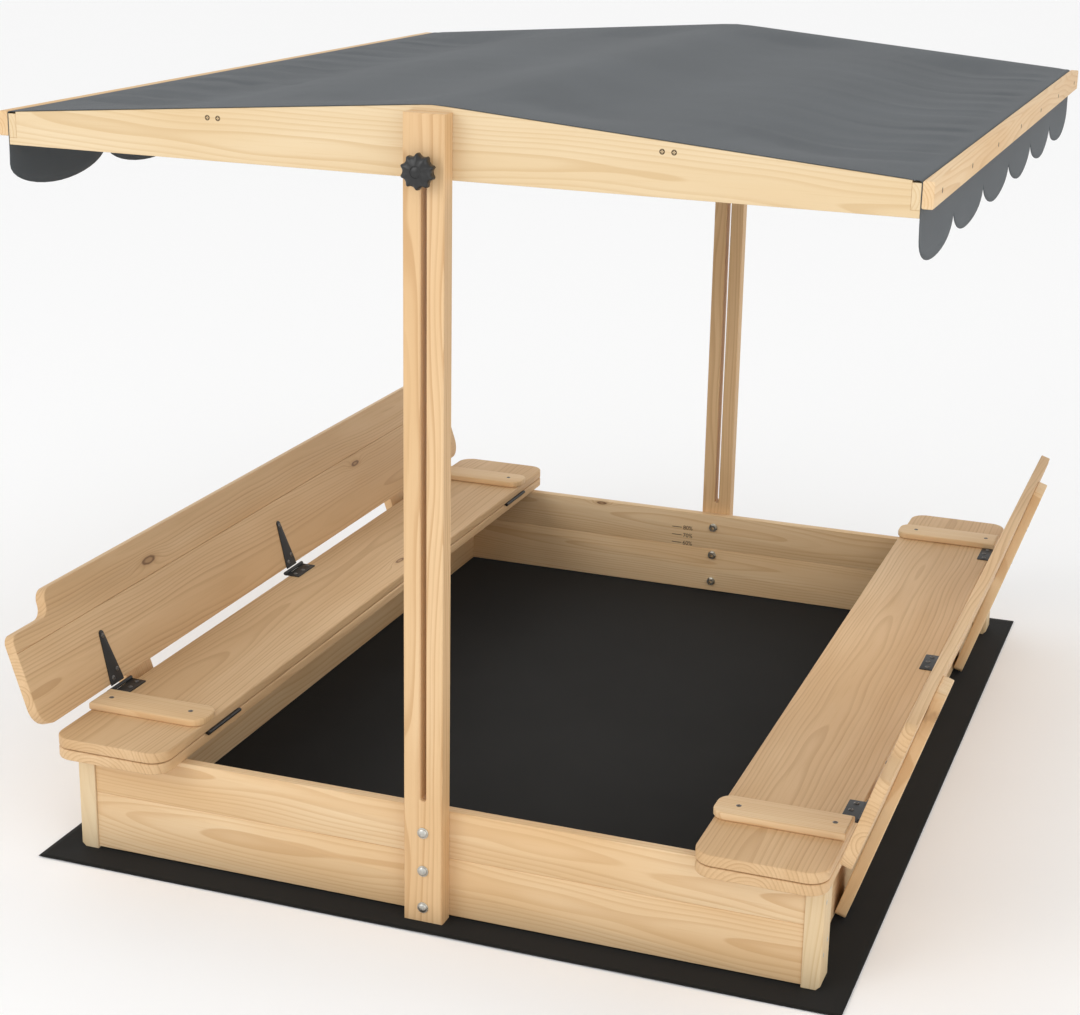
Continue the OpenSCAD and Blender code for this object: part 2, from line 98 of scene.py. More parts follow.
def grid_faces(rows: int, cols: int, close_cols: bool = False,
               close_rows: bool = False) -> np.ndarray:
    """Quads over a grid of points stored row by row.

    Args:
        rows: number of rows.
        cols: number of columns.
        close_cols: join the last column to the first.
        close_rows: join the last row to the first.

    Returns:
        Array of shape (m, 4).
    """
    i = np.arange(rows if close_rows else rows - 1)
    j = np.arange(cols if close_cols else cols - 1)
    a, b = np.meshgrid(i, j, indexing="ij")
    a2, b2 = (a + 1) % rows, (b + 1) % cols
    quads = np.stack([a * cols + b, a * cols + b2, a2 * cols + b2, a2 * cols + b], axis=-1)
    return quads.reshape(-1, 4)


def outward(points: np.ndarray, faces: list[list[int]]) -> list[list[int]]:
    """Turn all the faces round if the closed shell they make has a negative volume.

    Args:
        points: array of shape (n, 3).
        faces: index lists of a closed shell.

    Returns:
        The faces, pointing outwards.
    """
    volume = 0.0
    for f in faces:
        ring = points[f]
        fan = np.cross(ring[1:-1], ring[2:])
        volume += float((fan @ ring[0]).sum())
    return faces if volume > 0 else [f[::-1] for f in faces]


def arc(cx: float, cy: float, r: float, a0: float, a1: float, n: int = 9) -> np.ndarray:
    """Points on a circle: centre plus r (cos t, sin t), t from a0 to a1 in degrees."""
    t = np.radians(np.linspace(a0, a1, n))
    return np.stack([cx + r * np.cos(t), cy + r * np.sin(t)], axis=1)


def round_rectangle(x0: float, y0: float, x1: float, y1: float, r: float, n: int = 9) -> np.ndarray:
    """Outline of a rectangle with four quarter-circle corners, counter-clockwise."""
    return np.vstack([arc(x1 - r, y0 + r, r, -90, 0, n), arc(x1 - r, y1 - r, r, 0, 90, n),
                      arc(x0 + r, y1 - r, r, 90, 180, n), arc(x0 + r, y0 + r, r, 180, 270, n)])


def inset(outline: np.ndarray, depth: float) -> np.ndarray:
    """Move each point of a closed outline inwards along the mitre of its two edges.

    The mitre is the sum of the two edge normals over one plus their dot product.
    """
    ahead = np.roll(outline, -1, axis=0) - outline
    ahead /= np.linalg.norm(ahead, axis=1, keepdims=True) + 1e-12
    back = np.roll(ahead, 1, axis=0)
    n1 = np.stack([-back[:, 1], back[:, 0]], axis=1)
    n2 = np.stack([-ahead[:, 1], ahead[:, 0]], axis=1)
    mitre = (n1 + n2) / (1.0 + (n1 * n2).sum(axis=1, keepdims=True) + 1e-9)
    return outline + depth * mitre


def clean_outline(outline: np.ndarray, least: float = 1e-5) -> np.ndarray:
    """Drop points that repeat the one before them."""
    step = np.linalg.norm(outline - np.roll(outline, 1, axis=0), axis=1)
    return outline[step > least]


def shaped_slab(outline: np.ndarray, low: float, high: float, ease: float,
                steps: int = 3) -> Shape:
    """A slab with eased edges: the outline swept up a quarter round, a wall and a quarter round.

    At angle t the ring is the outline moved in by ease(1 - cos t), at height
    low + ease(1 - sin t) below and its mirror above.

    Args:
        outline: (n, 2) counter-clockwise points.
        low: height of the lower face.
        high: height of the upper face.
        ease: radius of the edges.
        steps: parts of each quarter round.

    Returns:
        Points in (x, y, z) and faces.
    """
    outline = clean_outline(outline)
    t = np.linspace(math.pi / 2, 0.0, steps + 1)
    depth = np.concatenate([ease * (1 - np.cos(t)), ease * (1 - np.cos(t[::-1]))])
    height = np.concatenate([low + ease * (1 - np.sin(t)), high - ease * (1 - np.sin(t[::-1]))])
    rings = [np.column_stack([inset(outline, d), np.full(len(outline), h)])
             for d, h in zip(depth, height)]
    points = np.vstack(rings)
    n, k = len(outline), len(rings)
    faces = [list(f) for f in grid_faces(k, n, close_cols=True)]
    faces.append(list(range(n))[::-1])
    faces.append(list(range((k - 1) * n, k * n)))
    return points, outward(points, faces)


def slotted_slab(outer: np.ndarray, inner: np.ndarray, low: float, high: float,
                 ease: float) -> Shape:
    """A slab with one through slot: a ring of profiles between two matched outlines.

    The profile runs up the outer wall, across the top, down the slot and back.

    Args:
        outer: (n, 2) outer outline.
        inner: (n, 2) slot outline, point for point with the outer one.
        low: height of the lower face.
        high: height of the upper face.
        ease: size of the chamfer on every edge.

    Returns:
        Points and faces.
    """
    rows = [(inset(outer, ease), low), (outer, low + ease), (outer, high - ease),
            (inset(outer, ease), high), (inset(inner, -ease), high), (inner, high - ease),
            (inner, low + ease), (inset(inner, -ease), low)]
    points = np.vstack([np.column_stack([xy, np.full(len(xy), z)]) for xy, z in rows])
    faces = [list(f) for f in grid_faces(len(rows), len(outer), close_cols=True, close_rows=True)]
    return points, outward(points, faces)


def capped(rings: np.ndarray, first: Sequence[float], last: Sequence[float]) -> Shape:
    """Close a stack of rings about Z with a fan at each end.

    Args:
        rings: array of shape (rows, around, 3).
        first: tip beyond the first ring.
        last: tip beyond the last ring.

    Returns:
        Points and faces.
    """
    rows, around = rings.shape[:2]
    n, base = rows * around, (rows - 1) * around
    points = np.vstack([rings.reshape(-1, 3), first, last])
    faces = [list(f) for f in grid_faces(rows, around, close_cols=True)]
    j = np.arange(around)
    k = (j + 1) % around
    faces += [[n, int(b), int(a)] for a, b in zip(j, k)]
    faces += [[n + 1, int(base + a), int(base + b)] for a, b in zip(j, k)]
    return points, outward(points, faces)


def lathe(profile: np.ndarray, around: int = 24) -> Shape:
    """Turn (radius, height) points about Z; both ends of the profile lie on the axis."""
    body = profile[1:-1]
    t = np.linspace(0, 2 * math.pi, around, endpoint=False)
    x = body[:, :1] * np.cos(t)
    y = body[:, :1] * np.sin(t)
    z = np.repeat(body[:, 1:2], around, axis=1)
    return capped(np.stack([x, y, z], axis=-1), (0, 0, profile[0, 1]), (0, 0, profile[-1, 1]))


def moved(shape: Shape, pose: Matrix) -> Shape:
    """Carry a shape to another place; a mirrored pose turns its faces round."""
    m = np.array(pose)
    points = shape[0] @ m[:3, :3].T + m[:3, 3]
    faces = shape[1] if np.linalg.det(m[:3, :3]) > 0 else [f[::-1] for f in shape[1]]
    return points, faces


def joined(shapes: Sequence[Shape]) -> Shape:
    """Put several shapes into one list of points and faces."""
    points, faces, start = [], [], 0
    for p, f in shapes:
        points.append(p)
        faces += [[i + start for i in face] for face in f]
        start += len(p)
    return np.vstack(points), faces


def axes_pose(origin: Sequence[float], x: Sequence[float], y: Sequence[float]) -> Matrix:
    """The pose with its origin and its first two axes given; the third is their cross product."""
    vx, vy = Vector(x), Vector(y)
    vz = vx.cross(vy)
    m = Matrix((vx, vy, vz)).transposed().to_4x4()
    m.translation = Vector(origin)
    return m


def soften(piece: bpy.types.Object, angle: float = 40.0) -> None:
    """Shade smooth, with creases kept where faces meet at more than the angle in degrees."""
    for face in piece.data.polygons:
        face.use_smooth = True
    piece.data.set_sharp_from_angle(angle=math.radians(angle))


# ---------------------------------------------------------------- finishes


class Sheet:
    """A material's node tree, written one node at a time."""

    def __init__(self, name: str) -> None:
        """Start an empty tree with its shader and output."""
        self.material = bpy.data.materials.new(name)
        self.material.use_nodes = True
        self.tree = self.material.node_tree
        self.tree.nodes.clear()
        self.shader = self.node("ShaderNodeBsdfPrincipled")
        out = self.node("ShaderNodeOutputMaterial")
        self.link(self.shader.outputs[0], out.inputs[0])

    def node(self, kind: str, **settings: object) -> bpy.types.Node:
        """Add a node and set its properties."""
        made = self.tree.nodes.new(kind)
        for key, value in settings.items():
            setattr(made, key, value)
        return made

    def link(self, a: bpy.types.NodeSocket, b: bpy.types.NodeSocket) -> None:
        """Join an output to an input."""
        self.tree.links.new(a, b)

    def feed(self, socket: bpy.types.NodeSocket, value: object) -> None:
        """Link a socket, or set a constant."""
        if isinstance(value, bpy.types.NodeSocket):
            self.link(value, socket)
        else:
            socket.default_value = value

    def math(self, kind: str, *values: object) -> bpy.types.NodeSocket:
        """A Math node's result."""
        made = self.node("ShaderNodeMath", operation=kind)
        for socket, value in zip(made.inputs, values):
            self.feed(socket, value)
        return made.outputs[0]

    def vector(self, kind: str, *values: object) -> bpy.types.NodeSocket:
        """A Vector Math node's vector."""
        made = self.node("ShaderNodeVectorMath", operation=kind)
        for socket, value in zip(made.inputs, values):
            self.feed(socket, value)
        return made.outputs[0]

    def noise(self, vector: bpy.types.NodeSocket, scale: float, detail: float = 3.0,
              rough: float = 0.55) -> bpy.types.Node:
        """A Noise Texture on a vector."""
        made = self.node("ShaderNodeTexNoise")
        self.link(vector, made.inputs["Vector"])
        made.inputs["Scale"].default_value = scale
        made.inputs["Detail"].default_value = detail
        made.inputs["Roughness"].default_value = rough
        return made

    def ramp(self, value: bpy.types.NodeSocket, stops: Sequence[tuple[float, Colour]],
             ease: str = "LINEAR") -> bpy.types.NodeSocket:
        """A colour ramp through (place, colour) stops."""
        made = self.node("ShaderNodeValToRGB")
        made.color_ramp.interpolation = ease
        bar = made.color_ramp.elements
        while len(bar) < len(stops):
            bar.new(0.5)
        for element, (place, colour) in zip(bar, stops):
            element.position = place
            element.color = (*colour, 1.0)
        self.link(value, made.inputs[0])
        return made.outputs[0]

    def mix(self, factor: object, a: object, b: object) -> bpy.types.NodeSocket:
        """Mix two colours."""
        made = self.node("ShaderNodeMix", data_type="RGBA")
        self.feed(made.inputs[0], factor)
        for socket, value in ((made.inputs[6], a), (made.inputs[7], b)):
            self.feed(socket, (*value, 1.0) if isinstance(value, tuple) and len(value) == 3 else value)
        return made.outputs[2]

    def range(self, value: bpy.types.NodeSocket, a0: float, a1: float, b0: float,
              b1: float) -> bpy.types.NodeSocket:
        """Map a number from one range to another, clamped."""
        made = self.node("ShaderNodeMapRange")
        for socket, v in zip(made.inputs, (value, a0, a1, b0, b1)):
            self.feed(socket, v)
        return made.outputs[0]

    def bump(self, height: bpy.types.NodeSocket, strength: float,
             distance: float) -> bpy.types.NodeSocket:
        """A Bump node's normal."""
        made = self.node("ShaderNodeBump")
        made.inputs["Strength"].default_value = strength
        made.inputs["Distance"].default_value = distance
        self.link(height, made.inputs["Height"])
        return made.outputs[0]


class Grain(Enum):
    """The direction that a board's fibres run, and the turn that brings it onto X."""

    ACROSS = (0.0, 0.0, 0.0)
    ALONG = (0.0, 0.0, -math.pi / 2)
    UPRIGHT = (0.0, math.pi / 2, 0.0)


@dataclass(frozen=True)
class Tone:
    """The colours of one kind of softwood, or of the same softwood darkened with painted shade."""

    pale: Colour
    honey: Colour
    late: Colour
    ring: float = 0.0050


FRESH = Tone(pale=(0.80, 0.60, 0.37), honey=(0.70, 0.46, 0.235), late=(0.56, 0.32, 0.135))
POST = Tone(pale=(0.76, 0.53, 0.30), honey=(0.66, 0.42, 0.205), late=(0.48, 0.25, 0.095))
CREAM = Tone(pale=(0.76, 0.61, 0.40), honey=(0.70, 0.52, 0.30), late=(0.58, 0.39, 0.19))
# Darker copy of the pine tones for the parts under the canopy: painted shade.
PAINTED_SHADE = Tone(pale=(0.72, 0.50, 0.285), honey=(0.60, 0.385, 0.195), late=(0.42, 0.235, 0.10), ring=0.0056)


@dataclass(frozen=True)
class Pine:
    """Sanded softwood: growth rings cut lengthwise, fibre streaks and knots.

    A point's ring number is its distance from a slightly tilted pith line, over
    the ring width. The line lies behind the board's face, which gives the long
    pointed arches of a flat-sawn board.
    """

    name: str
    tone: Tone
    grain: Grain
    seed: float
    pith: tuple[float, float] = (0.03, -0.06)
    tilt: tuple[float, float] = (0.02, 0.035)
    knots: float = 0.45
    centre: tuple[float, float, float] = (0.0, 0.0, 0.0)
    lean: float = 0.0
    upright_face: bool = False

    def material(self) -> bpy.types.Material:
        """Build the material.

        Returns:
            The finished material.
        """
        s = Sheet(self.name)
        coords = s.node("ShaderNodeTexCoord")
        place = s.node("ShaderNodeMapping", vector_type="POINT")
        rx, ry, rz = self.grain.value
        ry += self.lean
        place.inputs["Rotation"].default_value = (rx, ry, rz)
        turn = (Matrix.Rotation(rz, 3, "Z") @ Matrix.Rotation(ry, 3, "Y")
                @ Matrix.Rotation(rx, 3, "X"))
        shift = -(turn @ Vector(self.centre))
        place.inputs["Location"].default_value = (shift.x, shift.y, shift.z)
        s.link(coords.outputs["Object"], place.inputs["Vector"])
        wood = place.outputs[0]
        lot = s.vector("ADD", wood, (7.3 * self.seed, 3.1 * self.seed, 1.7 * self.seed))
        # Slow waviness of the rings, long along the fibres
        long = s.vector("MULTIPLY", lot, (1.6, 7.0, 7.0))
        sway = s.noise(long, 1.0, 2.0, 0.45)
        drift = s.vector("MULTIPLY", s.vector("SUBTRACT", sway.outputs["Color"], (0.5, 0.5, 0.5)),
                         (0.0, 0.045, 0.045))
        bent = s.vector("ADD", wood, drift)
        # Knots: cells stretched along the fibres, some of them with a knot in the middle
        face = s.node("ShaderNodeSeparateXYZ")
        s.link(lot, face.inputs[0])
        flat = s.node("ShaderNodeCombineXYZ")
        s.feed(flat.inputs[0], s.math("MULTIPLY", face.outputs[0], 2.1))
        s.feed(flat.inputs[1], s.math("MULTIPLY", face.outputs[2 if self.upright_face else 1], 7.5))
        cells = s.node("ShaderNodeTexVoronoi", voronoi_dimensions="2D", feature="F1")
        cells.inputs["Scale"].default_value = 1.0
        s.link(flat.outputs[0], cells.inputs["Vector"])
        pick = s.node("ShaderNodeSeparateColor")
        s.link(cells.outputs["Color"], pick.inputs[0])
        has = s.math("LESS_THAN", pick.outputs[0], self.knots)
        wobble = s.noise(s.vector("MULTIPLY", lot, (30.0, 60.0, 60.0)), 1.0, 2.0)
        near = s.math("ADD", cells.outputs["Distance"], s.math("MULTIPLY", wobble.outputs[0], 0.03))
        near = s.math("MULTIPLY", near, s.range(pick.outputs[1], 0.0, 1.0, 1.15, 2.6))
        swell = s.math("MULTIPLY", has, s.range(near, 0.30, 0.03, 0.0, 1.0))
        swell = s.math("MULTIPLY", swell, swell)
        # Distance from the pith line gives the ring number
        split = s.node("ShaderNodeSeparateXYZ")
        s.link(bent, split.inputs[0])
        across = s.math("SUBTRACT", s.math("MULTIPLY_ADD", split.outputs[0], self.tilt[0],
                                           split.outputs[1]), self.pith[0])
        deep = s.math("SUBTRACT", s.math("MULTIPLY_ADD", split.outputs[0], self.tilt[1],
                                         split.outputs[2]), self.pith[1])
        radius = s.math("SQRT", s.math("ADD", s.math("MULTIPLY", across, across),
                                       s.math("MULTIPLY", deep, deep)))
        radius = s.math("MULTIPLY_ADD", swell, 0.020, radius)
        number = s.math("DIVIDE", radius, self.tone.ring)
        part = s.math("FRACT", number)
        tint = s.node("ShaderNodeTexWhiteNoise", noise_dimensions="1D")
        s.link(s.math("FLOOR", number), tint.inputs["W"])
        late = s.ramp(part, [(0.0, (0.0,) * 3), (0.45, (0.12,) * 3), (0.86, (0.95,) * 3), (0.93, (1.0,) * 3),
                             (1.0, (0.05,) * 3)], "EASE")
        late = s.math("MULTIPLY", late, s.range(tint.outputs["Value"], 0.0, 1.0, 0.12, 0.72))
        # Fibres: short fine streaks
        fibre = s.noise(s.vector("MULTIPLY", lot, (9.0, 420.0, 420.0)), 1.0, 3.0, 0.6)
        streak = s.noise(s.vector("MULTIPLY", lot, (2.5, 60.0, 60.0)), 1.0, 3.0, 0.6)
        cloud = s.noise(s.vector("MULTIPLY", lot, (2.0, 9.0, 9.0)), 1.0, 2.0, 0.5)
        base = s.mix(s.range(cloud.outputs[0], 0.32, 0.68, 0.0, 1.0), self.tone.pale, self.tone.honey)
        base = s.mix(s.range(streak.outputs[0], 0.35, 0.75, 0.0, 0.45), base, self.tone.honey)
        base = s.mix(s.math("MULTIPLY", late, 0.78), base, self.tone.late)
        base = s.mix(s.range(fibre.outputs[0], 0.55, 0.80, 0.0, 0.30), base, self.tone.late)
        halo = s.math("MULTIPLY", has, s.range(near, 0.17, 0.07, 0.0, 0.55))
        base = s.mix(halo, base, (0.45, 0.25, 0.105))
        rim = s.math("MULTIPLY", has, s.math("MULTIPLY", s.range(near, 0.105, 0.085, 0.0, 1.0),
                                             s.range(near, 0.05, 0.075, 0.35, 1.0)))
        base = s.mix(s.math("MULTIPLY", rim, 0.8), base, (0.13, 0.055, 0.02))
        s.link(base, s.shader.inputs["Base Color"])
        s.link(s.range(fibre.outputs[0], 0.2, 0.8, 0.50, 0.64), s.shader.inputs["Roughness"])
        s.shader.inputs["Specular IOR Level"].default_value = 0.35
        relief = s.math("ADD", s.math("MULTIPLY", late, 0.5), fibre.outputs[0])
        s.link(s.bump(relief, 0.22, 0.0006), s.shader.inputs["Normal"])
        return s.material


@dataclass(frozen=True)
class Weave:
    """Plain-woven polyester: crossing threads, a soft sheen and a faint cloudiness."""

    name: str
    shade: Colour
    thread: float = 0.0011
    rough: float = 0.72

    def material(self) -> bpy.types.Material:
        """Build the material.

        Returns:
            The finished material.
        """
        s = Sheet(self.name)
        coords = s.node("ShaderNodeUVMap", uv_map="cloth")
        split = s.node("ShaderNodeSeparateXYZ")
        s.link(coords.outputs[0], split.inputs[0])
        turns = math.pi / self.thread
        warp = s.math("ABSOLUTE", s.math("SINE", s.math("MULTIPLY", split.outputs[0], turns)))
        weft = s.math("ABSOLUTE", s.math("SINE", s.math("MULTIPLY", split.outputs[1], turns)))
        check = s.node("ShaderNodeTexChecker")
        check.inputs["Scale"].default_value = 1.0 / self.thread
        s.link(coords.outputs[0], check.inputs["Vector"])
        over = s.node("ShaderNodeMix", data_type="FLOAT")
        s.link(check.outputs["Fac"], over.inputs[0])
        s.link(warp, over.inputs[2])
        s.link(weft, over.inputs[3])
        cloud = s.noise(coords.outputs[0], 3.0, 4.0, 0.6)
        slub = s.noise(s.vector("MULTIPLY", coords.outputs[0], (3.0, 220.0, 1.0)), 1.0, 2.0)
        light = tuple(min(1.0, c * 1.28 + 0.01) for c in self.shade)
        dark = tuple(c * 0.72 for c in self.shade)
        base = s.mix(s.range(cloud.outputs[0], 0.3, 0.7, 0.35, 0.65), dark, light)
        base = s.mix(s.range(slub.outputs[0], 0.4, 0.8, 0.0, 0.16), base, light)
        # Darker between the threads, where the bump sinks them: painted shade in the weave's grooves.
        base = s.mix(s.range(over.outputs[0], 0.0, 0.6, 0.28, 0.0), base, dark)
        s.link(base, s.shader.inputs["Base Color"])
        s.shader.inputs["Roughness"].default_value = self.rough
        s.shader.inputs["Sheen Weight"].default_value = 0.05
        s.shader.inputs["Sheen Roughness"].default_value = 0.5
        s.shader.inputs["Specular IOR Level"].default_value = 0.10
        s.link(s.bump(over.outputs[0], 0.25, 0.0004), s.shader.inputs["Normal"])
        return s.material


@dataclass(frozen=True)
class Coated:
    """Metal, paint or moulded plastic: a fine orange-peel skin, worn a little lighter."""

    name: str
    shade: Colour
    rough: float
    metallic: float = 0.0
    peel: float = 900.0
    depth: float = 0.15
    spread: float = 0.10

    def material(self) -> bpy.types.Material:
        """Build the material.

        Returns:
            The finished material.
        """
        s = Sheet(self.name)
        coords = s.node("ShaderNodeTexCoord")
        where = coords.outputs["Object"]
        skin = s.noise(where, self.peel, 2.0)
        wear = s.noise(where, 55.0, 4.0, 0.65)
        light = tuple(min(1.0, c * 1.9 + 0.012) for c in self.shade)
        base = s.mix(s.range(wear.outputs[0], 0.45, 0.75, 0.0, 0.6), self.shade, light)
        s.link(base, s.shader.inputs["Base Color"])
        s.link(s.range(wear.outputs[0], 0.3, 0.7, self.rough - self.spread / 2,
                       self.rough + self.spread / 2), s.shader.inputs["Roughness"])
        s.shader.inputs["Metallic"].default_value = self.metallic
        s.link(s.bump(skin.outputs[0], self.depth, 0.0003), s.shader.inputs["Normal"])
        return s.material


@dataclass
class Finishes:
    """All the finishes of the object, made once."""

    made: dict[str, bpy.types.Material] = field(default_factory=dict)

    def get(self, finish: Pine | Weave | Coated) -> bpy.types.Material:
        """The material of a finish, built at its first use."""
        if finish.name not in self.made:
            self.made[finish.name] = finish.material()
        return self.made[finish.name]


CANOPY_CLOTH = Weave("canopy_cloth", (0.080, 0.090, 0.098), thread=0.0013, rough=0.62)
GROUND_CLOTH = Weave("ground_cloth", (0.0085, 0.0080, 0.0070), thread=0.0016, rough=0.85)
HINGE_BLACK = Coated("hinge_black", (0.007, 0.007, 0.007), rough=0.50, metallic=0.0)
SCREW_BLACK = Coated("screw_black", (0.16, 0.15, 0.14), rough=0.35, metallic=0.8)
ZINC = Coated("zinc", (0.50, 0.49, 0.45), rough=0.34, metallic=1.0, peel=400.0, depth=0.08)
SCREW_BRONZE = Coated("screw_bronze", (0.12, 0.085, 0.05), rough=0.42, metallic=0.8)
KNOB_BLACK = Coated("knob_black", (0.010, 0.010, 0.010), rough=0.36, depth=0.1)
MARK_BROWN = Coated("mark_brown", (0.045, 0.024, 0.012), rough=0.8)


@dataclass
class Maker:
    """Puts finished pieces into the scene on the right body."""

    finishes: Finishes
    count: int = 0

    def piece(self, name: str, shape: Shape, body: str, slot: str,
              finish: Pine | Weave | Coated, nodes: Sequence[str] = (),
              crease: float = 40.0) -> bpy.types.Object:
        """Make one piece, ride it on its body and give it its finish.

        Args:
            name: name of the piece.
            shape: its points and faces.
            body: the body it moves with.
            slot: material slot of the record; not used.
            finish: its finish.
            nodes: frame nodes it stands for.
            crease: angle above which an edge stays sharp, in degrees.

        Returns:
            The object.
        """
        made = put_mesh(name, *shape)
        soften(made, crease)
        made.data.materials.append(self.finishes.get(finish))
        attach(made, body)
        if nodes:
            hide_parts(*nodes)
        self.count += 1
        LOG.info("%s: %d points on %s", name, len(shape[0]), body)
        return made


def dress_node(node: str, material: bpy.types.Material) -> None:
    """Give a frame node's object a material in every slot."""
    piece = bpy.data.objects[node]
    if not piece.material_slots:
        piece.data.materials.append(material)
    for held in piece.material_slots:
        held.material = material


# ---------------------------------------------------------------- small fittings


def pan_head(radius: float, height: float, slot: float = 0.0007) -> Shape:
    """A round screw head with a cross recess, standing on z = 0.

    The height at (r, t) is height(1 - (r / radius)^2.4), less the recess where the
    smaller of |r cos t| and |r sin t| is under the slot's half width.
    """
    around = 32
    r = radius * np.array([1.0, 1.0, 0.93, 0.80, 0.62, 0.56, 0.42, 0.26])
    t = np.linspace(0, 2 * math.pi, around, endpoint=False)
    rr, tt = np.meshgrid(r, t, indexing="ij")
    z = 0.35 * height + 0.65 * height * (1 - (rr / radius) ** 2.4)
    cross = (np.minimum(abs(rr * np.cos(tt)), abs(rr * np.sin(tt))) < slot) & (rr < 0.6 * radius)
    z = np.where(cross, z - 0.6 * height, z)
    z[0] = 0.0
    rings = np.stack([rr * np.cos(tt), rr * np.sin(tt), z], axis=-1)
    return capped(rings, (0, 0, 0), (0, 0, 0.4 * height))


def sunk_head(radius: float) -> Shape:
    """A countersunk head flush with the wood: a shallow dish with a cross recess."""
    return pan_head(radius, 0.0007)


def knuckle(radius: float, y0: float, y1: float) -> Shape:
    """A hinge barrel about the Y axis from y0 to y1, with eased rims."""
    e = 0.0004
    length = y1 - y0
    profile = np.array([(0, 0), (radius - e, 0), (radius, e), (radius, length - e),
                        (radius - e, length), (0, length)])
    return moved(lathe(profile, 28), axes_pose((0, y0, 0), (0, 0, 1), (1, 0, 0)))


def bolt_head(washer: float, head: float) -> Shape:
    """A flat washer with a domed bolt head on it, standing on z = 0."""
    t = np.radians(np.linspace(0, 90, 9))
    ring = np.array([(0, 0), (washer, 0), (washer, 0.0012), (washer - 0.0004, 0.0016), (0, 0.0016)])
    dome = np.column_stack([head * np.cos(t), 0.0022 + 0.0024 * np.sin(t)])
    dome = np.vstack([[(0, 0.0015), (head, 0.0015)], dome])
    dome[-1, 0] = 0.0
    return joined([lathe(ring, 36), lathe(dome, 36)])


def star_knob(rim: float = 0.025, hub: float = 0.012, height: float = 0.024,
              lobes: int = 10) -> Shape:
    """A clamping knob with pointed lobes, standing on its hub along +Z.

    Between two lobes the rim follows a round cutter of radius k whose centre lies at
    distance c: r = c cos d - sqrt(k^2 - c^2 sin^2 d), d being the angle to its centre.
    """
    around = lobes * 18
    t = np.linspace(0, 2 * math.pi, around, endpoint=False)
    d = (t + math.pi / lobes) % (2 * math.pi / lobes) - math.pi / lobes
    c, k = rim + 0.0034, 0.0076
    inside = k ** 2 - (c * np.sin(d)) ** 2
    cut = np.where(inside > 0, c * np.cos(d) - np.sqrt(np.maximum(inside, 0)), rim)
    lobe = np.minimum(rim, cut)
    hollow = lobe.min()
    lobe = lobe + 0.0006 * np.cos(lobes * d) * (lobe > hollow + 0.003)
    rows = [(0.0, 0.0, hub - 0.0008), (0.0, 0.0008, hub), (0.0, 0.0072, hub), (0.35, 0.0078, 0.0155),
            (0.85, 0.0082, 0.0), (0.97, 0.0092, 0.0), (1.0, 0.0110, 0.0), (1.0, 0.0165, 0.0),
            (0.985, 0.0190, 0.0), (0.94, 0.0208, 0.0), (0.86, 0.0222, 0.0), (0.70, 0.0232, 0.0),
            (0.5, 0.0237, 0.0)]
    rings = []
    for share, z, plain in rows:
        r = share * lobe if plain == 0.0 else (plain if share == 0.0 else
                                               share * lobe + (1 - share) * plain)
        r = np.broadcast_to(r, t.shape)
        rings.append(np.column_stack([r * np.cos(t), r * np.sin(t), np.full(around, z)]))
    for r, z in ((0.0088, 0.0240), (0.0080, 0.0240), (0.0074, 0.0232), (0.0062, 0.0232), (0.0045, height)):
        rings.append(np.column_stack([r * np.cos(t), r * np.sin(t), np.full(around, z)]))
    return capped(np.stack(rings), (0, 0, 0), (0, 0, height))


MIRROR_X = Matrix.Diagonal((-1.0, 1.0, 1.0, 1.0))
MIRROR_Y = Matrix.Diagonal((1.0, -1.0, 1.0, 1.0))
END = 0.753
FRONT = axes_pose((0, -END, 0), (1, 0, 0), (0, 0, 1))


def at_both_ends(shape: Shape) -> list[Shape]:
    """A shape and its mirror image at the other end of the box."""
    return [shape, moved(shape, MIRROR_Y)]


# ---------------------------------------------------------------- box and posts


